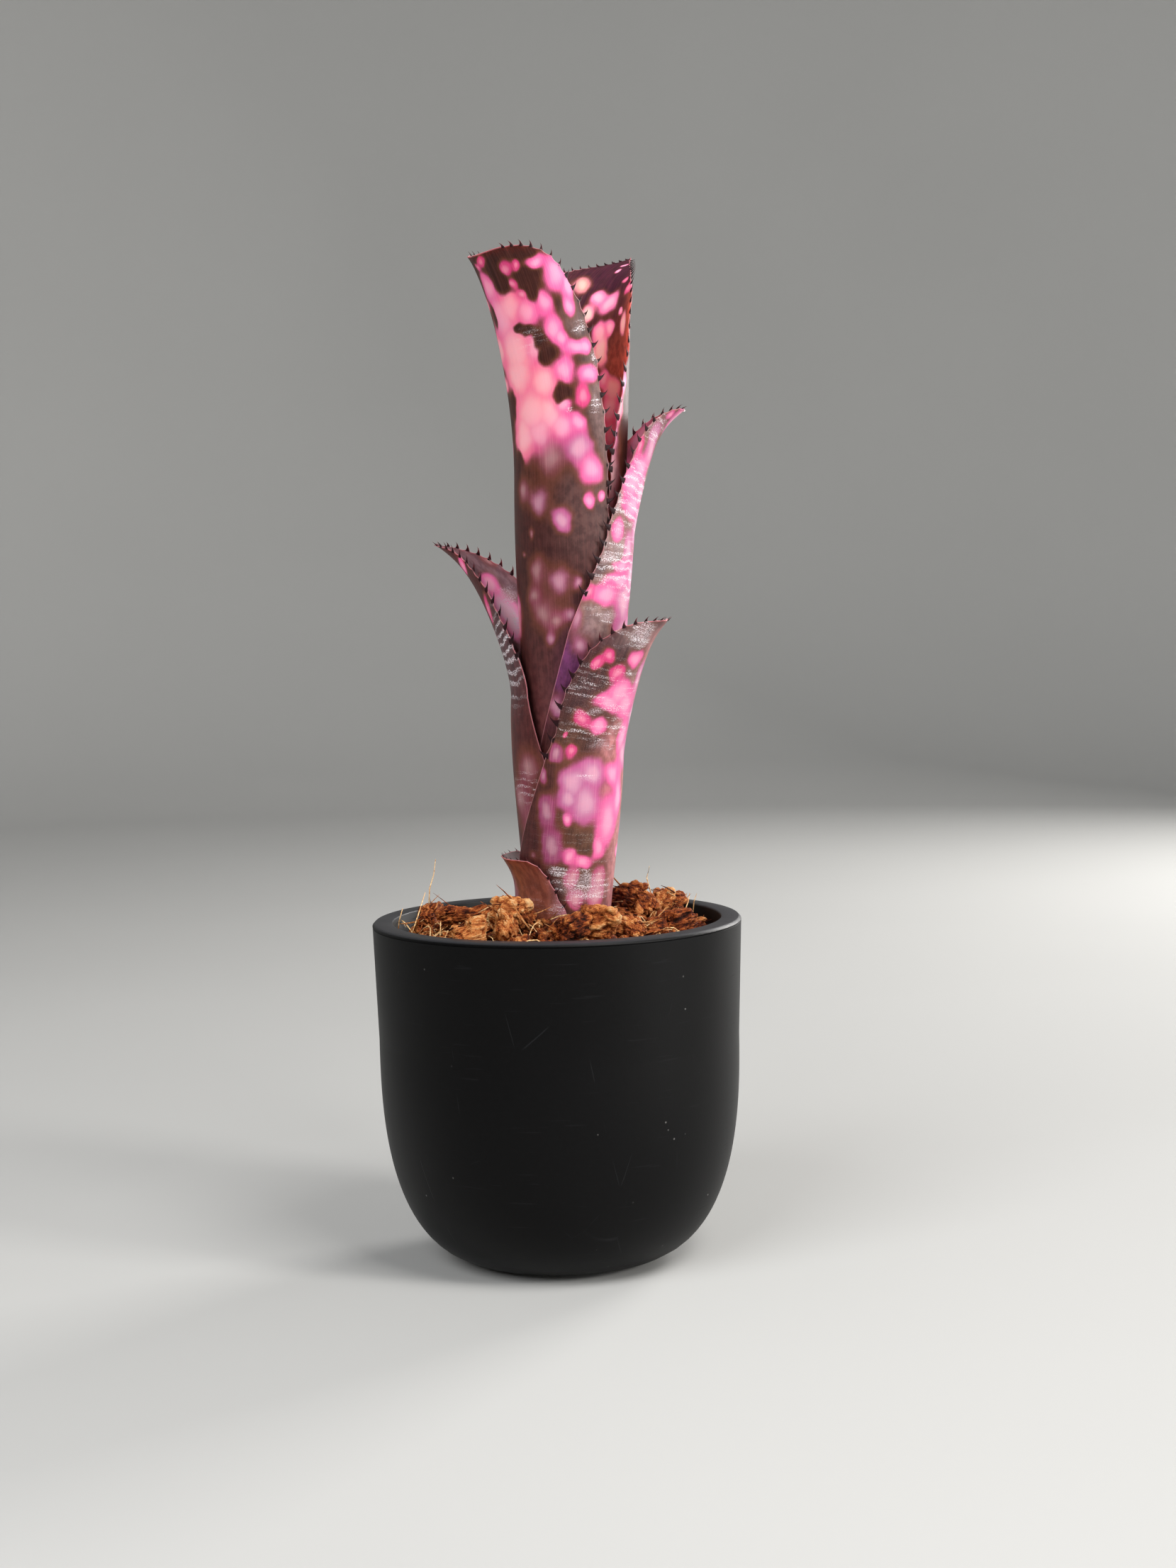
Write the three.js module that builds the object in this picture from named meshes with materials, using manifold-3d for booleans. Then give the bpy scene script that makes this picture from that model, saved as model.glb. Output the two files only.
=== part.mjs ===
// Potted billbergia: a narrow tube of spiny, strap-shaped leaves, rooted in coconut husk chips
// in a plain pot with a rounded bottom.
// Millimetres, +Z up, the origin on the ground under the middle of the pot. The front is -Y.
import * as THREE from 'three';
import { mergeVertices } from 'three/addons/utils/BufferGeometryUtils.js';
import Module from 'manifold-3d';

const wasm = await Module();
wasm.setup();

// Pot: outside, wall and rim
const POT_HEIGHT = 88;
const RIM_RADIUS = 47.5;
const RIM_CHAMFER = 0.7;
const BELLY_RADIUS = 46.5;
const BELLY_HEIGHT = 58;
const FOOT_RADIUS = 17;
const ROUNDING = 2.6;
const WALL = 5.2;
const FLOOR = 5;
const INNER_STEPS = 7;
const POT_SIDES = 64;

// Chips: the level of the bed at the wall and at the plant, and the chips on it
const SEAT_GAP = 0.35;
const BED_DEPTH_AT_WALL = 5.5;
const BED_DEPTH_AT_PLANT = 0.5;
const CHIP_COUNT = 46;
const CHIP_LENGTH = [9, 15];
const CHIP_WIDTH = [5.5, 9];
const CHIP_HEIGHT = [3.5, 6.5];
const CHIP_ROUGHNESS = 0.3;
const CHIP_SEED = 20;

// Plant: where its axis crosses the level of the rim, and how far it leans to the right
const PLANT_X = 2.1;
const PLANT_LEAN = THREE.MathUtils.degToRad(2.3);
const LEAF_FOOT = -9;
const LEAF_THICKNESS = 0.7;
const WRAP_LIMIT = 2.75;
const STEM_RADIUS = 3.6;
const STEM_TOP = 6;
const STEM_FOOT = -30;
const ROOT_RADIUS = 0.9;
const ROOT_COUNT = 6;
const SOCKET_RADIUS = 13.2;
const SOCKET_FLARE = 2.4;

// Spines on the free margins: height, width at the root, and how far apart
const SPINE_LENGTH = 1.9;
const SPINE_ROOT = 0.75;
const SPINE_THICKNESS = 0.28;
const SPINE_SPACING = 4.4;
const SPINE_SPACING_AT_TIP = 1.7;
const SPINE_SLANT = 0.75;

// Leaves, from the innermost outwards. Heights count from the rim along the plant's axis, angles are
// degrees counter-clockwise from +X seen from above, the other values are millimetres or plain ratios:
//   azimuth, turn      where the midrib stands, and how far it has turned at the tip
//   tip                height of the tip
//   foot, tube, grown  radius of the outer face at the foot, and above the height where it is grown
//   offset             how far the rolled blade's centre is shifted towards its midrib
//   bend, reach, rise, hook   height where the blade leans out, how far, the power, and the tip's hook
//   footHalf, bladeHalf       half widths at the foot and at the tip, before the taper
//   taper, fullness, blunt, swell   height where the taper starts, and its shape
//   channel            how much wider or tighter the blade is rolled at its tip
//   spines             height of the lowest spine
const LEAVES = [
  {
    name: 'heart_leaf', colour: 0x6b2b45, azimuth: 271, turn: -22, tip: 121,
    foot: 5, tube: 9.4, grown: 96, offset: 0.6, bend: 110, reach: 2.2, rise: 2.5, hook: 0,
    footHalf: 13, bladeHalf: 16.4, taper: 68, fullness: 2, blunt: 0.75, swell: 0, channel: -0.2,
    spines: 84,
  },
  {
    name: 'tall_back_leaf', colour: 0x7a2c3a, azimuth: 87, turn: -18, tip: 173,
    foot: 6.25, tube: 13.5, grown: 129, offset: -0.1, bend: 147, reach: 26.7, rise: 2.7, hook: -0.9,
    footHalf: 27.8, bladeHalf: 32.7, taper: 117, fullness: 2.8, blunt: 0.93, swell: -0.28,
    channel: 0.13, spines: 100,
  },
  {
    name: 'tall_front_leaf', colour: 0xc4658c, azimuth: 208, turn: 0, tip: 165.8,
    foot: 7.5, tube: 15.1, grown: 116, offset: -0.1, bend: 111, reach: 11.9, rise: 1.8, hook: 2.1,
    footHalf: 27.8, bladeHalf: 25, taper: 142, fullness: 4.9, blunt: 0.35, swell: -0.14,
    channel: -0.14, spines: 92,
  },
  {
    name: 'middle_right_leaf', colour: 0xd08aa4, azimuth: 21.6, turn: -17, tip: 130.2,
    foot: 8.75, tube: 16, grown: 112, offset: -0.3, bend: 98, reach: 7.1, rise: 1.3, hook: 5,
    footHalf: 34, bladeHalf: 24.2, taper: 72, fullness: 1.3, blunt: 0.35, swell: -0.11,
    channel: -0.42, spines: 78,
  },
  {
    name: 'left_leaf', colour: 0x7d3f52, azimuth: 141, turn: 5, tip: 95.4,
    foot: 10, tube: 15.2, grown: 55, offset: 1, bend: 57, reach: 22.3, rise: 1.4, hook: 6.5,
    footHalf: 26.7, bladeHalf: 28.9, taper: 27, fullness: 1, blunt: 0.6, swell: 0.15, channel: -0.8,
    spines: 60,
  },
  {
    name: 'lower_right_leaf', colour: 0xc77a9c, azimuth: 324, turn: 9, tip: 77.1,
    foot: 11.45, tube: 14.2, grown: 42, offset: -0.4, bend: 42, reach: 9.4, rise: 1.3, hook: 3.5,
    footHalf: 33.8, bladeHalf: 9.1, taper: 46, fullness: 3.9, blunt: 0.55, swell: 0.64,
    channel: -0.37, spines: 38,
  },
  {
    name: 'basal_leaf', colour: 0x8a5240, azimuth: 191, turn: -6, tip: 15.8,
    foot: 12.65, tube: 13.1, grown: 12, offset: -0.1, bend: 3, reach: 5.3, rise: 3.6, hook: -1.7,
    footHalf: 22, bladeHalf: 13.7, taper: 11, fullness: 3.3, blunt: 0.84, swell: -0.06,
    channel: 0.46, spines: 0,
  },
];
const ROW_HEIGHT = 6.5;
const MIN_ROWS = 11;
const LEAF_COLUMNS = 14;

// Chips that stand out in the front view: middle, size, turn about the vertical and tilt
const FEATURE_CHIPS = [
  { x: 8, y: -26, z: 90, length: 16, width: 11, height: 11, turn: 5, tilt: -10 },
  { x: 17, y: -22, z: 89, length: 13, width: 9, height: 7, turn: -25, tilt: 14 },
  { x: -10.5, y: -17, z: 92, length: 14, width: 9, height: 9, turn: 30, tilt: 16 },
  { x: -13, y: -25, z: 90, length: 10, width: 7, height: 9, turn: 80, tilt: 30 },
  { x: -21, y: -28, z: 88, length: 8, width: 7, height: 11, turn: 20, tilt: -18 },
  { x: -22, y: -5, z: 90.5, length: 17, width: 6, height: 5.5, turn: 8, tilt: 6 },
  { x: -33, y: 3, z: 89, length: 9, width: 7, height: 8, turn: 60, tilt: -20 },
  { x: 20, y: 8, z: 91.5, length: 13, width: 9, height: 9, turn: -30, tilt: 22 },
  { x: 28, y: -9, z: 88, length: 12, width: 9, height: 8, turn: 20, tilt: -24 },
  { x: 30, y: 19, z: 89.5, length: 10, width: 8, height: 9, turn: 50, tilt: 10 },
  { x: 34, y: 2, z: 86.5, length: 10, width: 8, height: 6, turn: -15, tilt: 15 },
];

function smoothStep(value) {
  const t = THREE.MathUtils.clamp(value, 0, 1);
  return t * t * (3 - 2 * t);
}

// Solids to cut and join
function solidOf(geometry) {
  const bare = geometry.clone();
  bare.deleteAttribute('normal');
  bare.deleteAttribute('uv');
  const merged = mergeVertices(bare, 1e-4);
  return new wasm.Manifold(new wasm.Mesh({
    numProp: 3,
    vertProperties: new Float32Array(merged.attributes.position.array),
    triVerts: new Uint32Array(merged.index.array),
  }));
}

function geometryOf(solid) {
  const mesh = solid.getMesh();
  const geometry = new THREE.BufferGeometry();
  geometry.setAttribute('position', new THREE.BufferAttribute(mesh.vertProperties, 3));
  geometry.setIndex(new THREE.BufferAttribute(mesh.triVerts, 1));
  geometry.computeVertexNormals();
  return geometry;
}

// A solid turned on the vertical axis from a profile of [radius, height] pairs, listed upwards
function turned(profile, sides) {
  const geometry = new THREE.LatheGeometry(profile.map(([r, z]) => new THREE.Vector2(r, z)), sides);
  return geometry.rotateX(Math.PI / 2);
}

// The rounded flank of the pot, outside or inside: points from the foot up to the widest height
function flank(footRadius, footHeight, bellyRadius, steps) {
  const rise = BELLY_HEIGHT - footHeight;
  return Array.from({ length: steps + 1 }, (_, i) => {
    const down = (1 - i / steps) ** 1.6;
    const out = (1 - down ** ROUNDING) ** (1 / ROUNDING);
    return [footRadius + (bellyRadius - footRadius) * out, footHeight + rise * (1 - down)];
  });
}

const INNER_BELLY = BELLY_RADIUS - WALL;
const INNER_RIM = RIM_RADIUS - WALL;
const INNER_FOOT = FOOT_RADIUS - 1;

function potGeometry() {
  const outside = flank(FOOT_RADIUS, 0, BELLY_RADIUS, 11);
  const inside = flank(INNER_FOOT, FLOOR, INNER_BELLY, INNER_STEPS);
  return turned([
    [0, 0],
    ...outside,
    [RIM_RADIUS, POT_HEIGHT - RIM_CHAMFER],
    [RIM_RADIUS - RIM_CHAMFER, POT_HEIGHT],
    [INNER_RIM, POT_HEIGHT],
    ...inside.reverse(),
    [0, FLOOR],
  ], POT_SIDES);
}

// Radius of the pot's inner wall near the top, which the chips keep clear of
function wallRadius(z) {
  return THREE.MathUtils.mapLinear(z, BELLY_HEIGHT, POT_HEIGHT, INNER_BELLY, INNER_RIM);
}

// Height of the packed bed under the loose chips
function bedHeight(radius) {
  const away = smoothStep(radius / INNER_RIM);
  return POT_HEIGHT - THREE.MathUtils.lerp(BED_DEPTH_AT_PLANT, BED_DEPTH_AT_WALL, away);
}

let chipDraw = CHIP_SEED;
function draw(low, high) {
  chipDraw = (Math.imul(chipDraw, 1664525) + 1013904223) >>> 0;
  return low + (high - low) * chipDraw / 2 ** 32;
}

// One chip: a block with its corners knocked about, turned and tilted
function chipSolid({ x, y, z, length, width, height, turn, tilt }) {
  const block = new THREE.BoxGeometry(length, width, height, 2, 1, 1);
  block.deleteAttribute('normal');
  block.deleteAttribute('uv');
  const rough = mergeVertices(block);
  const corners = rough.attributes.position;
  for (let i = 0; i < corners.count; i += 1) {
    const shrink = 1 - draw(0, CHIP_ROUGHNESS);
    corners.setXYZ(
      i,
      corners.getX(i) * shrink,
      corners.getY(i) * (1 - draw(0, CHIP_ROUGHNESS)),
      corners.getZ(i) * (1 - draw(0, CHIP_ROUGHNESS)),
    );
  }
  rough.rotateY(THREE.MathUtils.degToRad(tilt));
  rough.rotateZ(THREE.MathUtils.degToRad(turn));
  rough.translate(x, y, z);
  return solidOf(rough);
}

// The loose chips follow a sunflower spiral, so that they cover the bed evenly, half sunk in it
function looseChips() {
  const golden = Math.PI * (3 - Math.sqrt(5));
  const outermost = INNER_RIM - 4;
  return Array.from({ length: CHIP_COUNT }, (_, i) => {
    const radius = Math.sqrt((i + 0.5) / CHIP_COUNT) * outermost;
    return {
      x: radius * Math.cos(golden * i),
      y: radius * Math.sin(golden * i),
      z: bedHeight(radius) + draw(-0.6, 1.6),
      length: draw(...CHIP_LENGTH),
      width: draw(...CHIP_WIDTH),
      height: draw(...CHIP_HEIGHT),
      turn: draw(0, 180),
      tilt: draw(-30, 30),
    };
  });
}

// Roots: they spread from the foot of the stem, down among the chips
function rootGeometry(index, clearance) {
  const angle = (index + 0.3 * Math.sin(5 * index)) * 2 * Math.PI / ROOT_COUNT;
  const spread = 13 + 4 * Math.cos(3 * index);
  const radius = ROOT_RADIUS + clearance;
  const end = -60 - 2 * clearance;
  const route = [[0.5, -22], [4.5, -30], [0.55 * spread, -40], [0.9 * spread, -52], [spread, end]];
  const path = new THREE.CatmullRomCurve3(route.map(([out, z], i) => new THREE.Vector3(
    out * Math.cos(angle + 0.12 * i),
    out * Math.sin(angle + 0.12 * i),
    z,
  )));
  const section = new THREE.Shape(Array.from({ length: 5 }, (_, i) => new THREE.Vector2(
    radius * Math.cos(i * 2 * Math.PI / 5),
    radius * Math.sin(i * 2 * Math.PI / 5),
  )));
  return new THREE.ExtrudeGeometry(section, { steps: 8, extrudePath: path, bevelEnabled: false });
}

function stemSolid(clearance) {
  const stem = solidOf(turned([
    [0, STEM_FOOT - clearance],
    [STEM_RADIUS - 1.4 + clearance, STEM_FOOT - clearance],
    [STEM_RADIUS + clearance, STEM_FOOT + 8],
    [STEM_RADIUS + clearance, STEM_TOP - 2],
    [STEM_RADIUS - 1.6 + clearance, STEM_TOP],
    [0, STEM_TOP],
  ], 16));
  return Array.from({ length: ROOT_COUNT }, (_, i) => i).reduce(
    (joined, i) => joined.add(solidOf(rootGeometry(i, clearance))),
    stem,
  );
}

// The socket that the leaf bases stand in, flaring above the chips
function socketSolid() {
  return solidOf(turned([
    [0, LEAF_FOOT - SEAT_GAP],
    [SOCKET_RADIUS, LEAF_FOOT - SEAT_GAP],
    [SOCKET_RADIUS + 0.4, 1],
    [SOCKET_RADIUS + SOCKET_FLARE, 6],
    [SOCKET_RADIUS + 5 * SOCKET_FLARE, 26],
    [0, 26],
  ], 32));
}

// The plant's own frame, set in the pot
const plantPlace = new THREE.Matrix4().makeRotationY(PLANT_LEAN).setPosition(PLANT_X, 0, POT_HEIGHT);

function placed(solid, matrix) {
  return solidOf(geometryOf(solid).applyMatrix4(matrix));
}

// The main body of a solid: scraps cut loose from it fall away, and sealed pockets close
function mainBody(solid) {
  return solid.decompose().sort((a, b) => b.volume() - a.volume())[0];
}

function chipBedGeometry() {
  const side = flank(
    INNER_FOOT - SEAT_GAP,
    FLOOR + SEAT_GAP,
    INNER_BELLY - SEAT_GAP,
    INNER_STEPS,
  );
  const topRadius = wallRadius(bedHeight(INNER_RIM)) - SEAT_GAP;
  const crown = [0.75, 0.5, 0.25, 0].map((part) => [part * topRadius, bedHeight(part * topRadius)]);
  const core = solidOf(turned([
    [0, FLOOR + SEAT_GAP],
    ...side,
    [topRadius, bedHeight(topRadius)],
    ...crown,
  ], POT_SIDES / 2));
  const withinWall = solidOf(turned([
    [0, FLOOR + 2],
    [INNER_BELLY - SEAT_GAP, FLOOR + 2],
    [INNER_BELLY - SEAT_GAP, BELLY_HEIGHT],
    [INNER_RIM - SEAT_GAP, POT_HEIGHT],
    [INNER_RIM - SEAT_GAP, POT_HEIGHT + 20],
    [0, POT_HEIGHT + 20],
  ], POT_SIDES / 2));
  const chips = [...looseChips(), ...FEATURE_CHIPS]
    .map(chipSolid)
    .reduce((joined, chip) => joined.add(chip));
  const bed = core
    .add(chips.intersect(withinWall))
    .subtract(placed(socketSolid(), plantPlace))
    .subtract(placed(stemSolid(SEAT_GAP), plantPlace));
  return geometryOf(mainBody(bed));
}

// How far the midrib stands out from the rolled tube at a height
function midribRadius(leaf, z) {
  const grown = smoothStep((z - LEAF_FOOT) / (leaf.grown - LEAF_FOOT));
  const tube = THREE.MathUtils.lerp(leaf.foot, leaf.tube, grown);
  const bent = Math.max(0, (z - leaf.bend) / (leaf.tip - leaf.bend));
  return tube + leaf.reach * bent ** leaf.rise + leaf.hook * bent ** 8;
}

// A point of the blade: side runs from -1 to 1 across it, depth from the outer face inwards
function leafPoint(leaf, z, side, depth) {
  const grown = smoothStep((z - LEAF_FOOT) / (leaf.grown - LEAF_FOOT));
  const bent = Math.max(0, (z - leaf.bend) / (leaf.tip - leaf.bend));
  const tube = THREE.MathUtils.lerp(leaf.foot, leaf.tube, grown);
  const roll = (tube - leaf.offset * grown) * (1 + leaf.channel * bent ** 2);
  const up = (z - LEAF_FOOT) / (leaf.tip - LEAF_FOOT);
  const taper = THREE.MathUtils.clamp((z - leaf.taper) / (leaf.tip - leaf.taper), 0, 1);
  const half = THREE.MathUtils.lerp(leaf.footHalf, leaf.bladeHalf, up)
    * (1 - taper ** leaf.fullness) ** leaf.blunt * (1 + leaf.swell * taper);
  const angle = side * Math.min(half / roll, WRAP_LIMIT);
  const slope = (midribRadius(leaf, z + 0.01) - midribRadius(leaf, z - 0.01)) / 0.02;
  const normal = new THREE.Vector2(1, -slope).normalize();
  const inwards = roll * (1 - Math.cos(angle)) + depth * Math.cos(angle);
  const out = midribRadius(leaf, z) - normal.x * inwards;
  const across = (roll - depth) * Math.sin(angle);
  const azimuth = THREE.MathUtils.degToRad(leaf.azimuth + leaf.turn * bent);
  return new THREE.Vector3(
    out * Math.cos(azimuth) - across * Math.sin(azimuth),
    out * Math.sin(azimuth) + across * Math.cos(azimuth),
    z - normal.y * inwards,
  );
}

// The blade: rows that close up towards the tip, each a strip of the outer and of the inner face
function bladeSolid(leaf) {
  const rows = Math.max(MIN_ROWS, Math.round((leaf.tip - LEAF_FOOT) / ROW_HEIGHT));
  const columns = LEAF_COLUMNS;
  const vertices = [];
  const indices = [];
  const put = (z, side, depth) => {
    vertices.push(...leafPoint(leaf, z, side, depth).toArray());
    return vertices.length / 3 - 1;
  };
  const grid = Array.from({ length: rows }, (_, row) => {
    const z = leaf.tip - (leaf.tip - LEAF_FOOT) * (1 - row / rows) ** 1.3;
    return [0, LEAF_THICKNESS].map((depth) => Array.from(
      { length: columns + 1 },
      (__, column) => put(z, 2 * column / columns - 1, depth),
    ));
  });
  const tip = [0, LEAF_THICKNESS].map((depth) => put(leaf.tip, 0, depth));
  const quad = (a, b, c, d) => indices.push(a, b, c, a, c, d);
  for (let row = 0; row < rows - 1; row += 1) {
    const [outer, inner] = grid[row];
    const [outerUp, innerUp] = grid[row + 1];
    for (let i = 0; i < columns; i += 1) {
      quad(outer[i], outer[i + 1], outerUp[i + 1], outerUp[i]);
      indices.push(inner[i], innerUp[i + 1], inner[i + 1], inner[i], innerUp[i], innerUp[i + 1]);
    }
    quad(inner[0], outer[0], outerUp[0], innerUp[0]);
    quad(outer[columns], inner[columns], innerUp[columns], outerUp[columns]);
  }
  const [outer, inner] = grid[rows - 1];
  for (let i = 0; i < columns; i += 1) {
    indices.push(outer[i], outer[i + 1], tip[0], inner[i + 1], inner[i], tip[1]);
    quad(grid[0][1][i], grid[0][1][i + 1], grid[0][0][i + 1], grid[0][0][i]);
  }
  quad(inner[0], outer[0], tip[0], tip[1]);
  quad(outer[columns], inner[columns], tip[1], tip[0]);
  const geometry = new THREE.BufferGeometry();
  geometry.setAttribute('position', new THREE.Float32BufferAttribute(vertices, 3));
  geometry.setIndex(indices);
  return solidOf(geometry);
}

// One spine: a four-sided thorn whose root is sunk in the margin, slanted towards the tip
function spineSolid(root, along, outwards, size) {
  const across = new THREE.Vector3().crossVectors(along, outwards).normalize();
  const foot = root.clone().addScaledVector(outwards, -0.9);
  const tip = root.clone()
    .addScaledVector(outwards, SPINE_LENGTH * size)
    .addScaledVector(along, SPINE_LENGTH * size * SPINE_SLANT);
  const corners = [
    foot.clone().addScaledVector(along, -SPINE_ROOT),
    foot.clone().addScaledVector(across, -SPINE_THICKNESS),
    foot.clone().addScaledVector(along, SPINE_ROOT),
    foot.clone().addScaledVector(across, SPINE_THICKNESS),
  ];
  const geometry = new THREE.BufferGeometry();
  const vertices = [...corners, tip].flatMap((corner) => corner.toArray());
  geometry.setAttribute('position', new THREE.Float32BufferAttribute(vertices, 3));
  geometry.setIndex([0, 1, 4, 1, 2, 4, 2, 3, 4, 3, 0, 4, 0, 2, 1, 0, 3, 2]);
  return solidOf(geometry);
}

// The spines of one margin, set at steps that close up towards the tip, which is bare itself
function marginSpines(leaf, side) {
  const spines = [];
  const samples = 600;
  let walked = 0;
  let last = leafPoint(leaf, leaf.spines, side, LEAF_THICKNESS / 2);
  for (let i = 1; i < 0.93 * samples; i += 1) {
    const part = i / samples;
    const z = leaf.tip - (leaf.tip - leaf.spines) * (1 - part) ** 2;
    const root = leafPoint(leaf, z, side, LEAF_THICKNESS / 2);
    const step = root.distanceTo(last);
    walked += step;
    if (walked >= THREE.MathUtils.lerp(SPINE_SPACING, SPINE_SPACING_AT_TIP, part ** 2)) {
      walked = 0;
      const along = root.clone().sub(last).normalize();
      const inner = leafPoint(leaf, z, side * 0.97, LEAF_THICKNESS / 2);
      const outwards = root.clone().sub(inner);
      outwards.addScaledVector(along, -outwards.dot(along)).normalize();
      spines.push(spineSolid(root, along, outwards, 1 - 0.35 * part));
    }
    last = root;
  }
  return spines;
}

function leafGeometry(leaf) {
  const spines = [...marginSpines(leaf, -1), ...marginSpines(leaf, 1)];
  return geometryOf(mainBody(spines.reduce((joined, spine) => joined.add(spine), bladeSolid(leaf))));
}

function named(name, geometry, color, roughness) {
  const mesh = new THREE.Mesh(
    geometry,
    new THREE.MeshStandardMaterial({ color, roughness, metalness: 0 }),
  );
  mesh.name = name;
  return mesh;
}

const pottedBillbergia = new THREE.Group();
pottedBillbergia.add(named('pot', potGeometry(), 0x17181a, 0.6));
pottedBillbergia.add(named('husk_chips', chipBedGeometry(), 0x9a5a2c, 0.95));

const plant = new THREE.Group();
plant.applyMatrix4(plantPlace);
plant.add(named('stem_and_roots', geometryOf(stemSolid(0)), 0x8b7a55, 0.8));
LEAVES.forEach((leaf) => plant.add(named(leaf.name, leafGeometry(leaf), leaf.colour, 0.5)));
pottedBillbergia.add(plant);

export default pottedBillbergia;
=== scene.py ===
import math
import random

import bmesh
import bpy
import numpy as np
from mathutils import Matrix, Vector, noise


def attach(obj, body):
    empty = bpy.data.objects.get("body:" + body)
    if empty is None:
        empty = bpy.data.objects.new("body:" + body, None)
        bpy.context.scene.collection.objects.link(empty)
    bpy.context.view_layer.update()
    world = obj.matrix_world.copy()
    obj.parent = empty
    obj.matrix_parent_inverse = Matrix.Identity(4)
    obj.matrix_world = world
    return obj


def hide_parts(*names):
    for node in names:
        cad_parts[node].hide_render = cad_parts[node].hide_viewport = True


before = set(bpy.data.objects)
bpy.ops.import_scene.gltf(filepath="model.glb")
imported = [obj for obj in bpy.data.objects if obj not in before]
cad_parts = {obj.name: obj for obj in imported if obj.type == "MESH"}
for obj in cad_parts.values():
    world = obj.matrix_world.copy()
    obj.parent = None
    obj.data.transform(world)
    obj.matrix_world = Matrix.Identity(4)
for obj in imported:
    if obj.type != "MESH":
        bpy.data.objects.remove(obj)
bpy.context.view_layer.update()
MM = 0.001


# POT
# A plain moulded pot of matte black resin with a thick wall, a flat foot and a rounded flank.
# Its rim is cut flat, with a thin chamfer outside that catches the light, and a fine mould line under it.
POT_HEIGHT = 88.0
RIM_RADIUS = 47.5
RIM_CHAMFER = 0.7
BELLY_RADIUS = 46.5
BELLY_HEIGHT = 58.0
FOOT_RADIUS = 17.0
ROUNDING = 2.6
WALL = 5.2
POT_FLOOR = 5.0
INNER_BELLY = BELLY_RADIUS - WALL
INNER_RIM = RIM_RADIUS - WALL
INNER_FOOT = FOOT_RADIUS - 1
MOULD_LINE_DEPTH = 0.12
POT_SIDES = 160


def paint(red, green, blue):
    """A colour given as the eye sees it, 0 to 255, turned into the linear colour that shaders use."""
    linear = [((c / 255 + 0.055) / 1.055) ** 2.4 if c > 10 else c / 255 / 12.92 for c in (red, green, blue)]
    return (*linear, 1.0)


def flank(foot_radius, foot_height, belly_radius, steps):
    """The rounded flank, from the foot up to the widest height, as radius and height pairs."""
    rise = BELLY_HEIGHT - foot_height
    pairs = []
    for i in range(steps + 1):
        down = (1 - i / steps) ** 1.6
        out = (1 - down ** ROUNDING) ** (1 / ROUNDING)
        pairs.append((foot_radius + (belly_radius - foot_radius) * out, foot_height + rise * (1 - down)))
    return pairs


def turned(profile, sides):
    """A closed body turned on the vertical axis from radius and height pairs in millimetres."""
    bm = bmesh.new()
    points = [bm.verts.new((r * MM, 0, z * MM)) for r, z in profile]
    edges = [bm.edges.new(pair) for pair in zip(points, points[1:])]
    bmesh.ops.spin(
        bm, geom=points + edges, cent=(0, 0, 0), axis=(0, 0, 1), dvec=(0, 0, 0),
        angle=2 * math.pi, steps=sides, use_merge=True, use_normal_flip=False, use_duplicate=False,
    )
    bmesh.ops.remove_doubles(bm, verts=bm.verts, dist=1e-6)
    bmesh.ops.recalc_face_normals(bm, faces=bm.faces)
    return bm


def mesh_of(name, bm):
    """The mesh of a bmesh, which is freed."""
    mesh = bpy.data.meshes.new(name)
    bm.to_mesh(mesh)
    bm.free()
    return mesh


def piece(name, bm, finish, sharp=40):
    """A finished piece from a bmesh: smooth faces, edges over `sharp` degrees kept crisp."""
    mesh = mesh_of(name, bm)
    mesh.shade_smooth()
    mesh.set_sharp_from_angle(angle=math.radians(sharp))
    mesh.materials.append(finish.material)
    made = bpy.data.objects.new(name, mesh)
    bpy.context.scene.collection.objects.link(made)
    return made


class Wire:
    """One output of a material node. Sums, products and powers of wires add Math nodes."""

    def __init__(self, finish, socket):
        self.finish = finish
        self.socket = socket

    def worked(self, operation, first, second):
        return self.finish.add("ShaderNodeMath", {"operation": operation}, {0: first, 1: second})

    def __add__(self, other):
        return self.worked("ADD", self, other)

    def __radd__(self, other):
        return self.worked("ADD", other, self)

    def __sub__(self, other):
        return self.worked("SUBTRACT", self, other)

    def __rsub__(self, other):
        return self.worked("SUBTRACT", other, self)

    def __mul__(self, other):
        return self.worked("MULTIPLY", self, other)

    def __rmul__(self, other):
        return self.worked("MULTIPLY", other, self)


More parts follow.
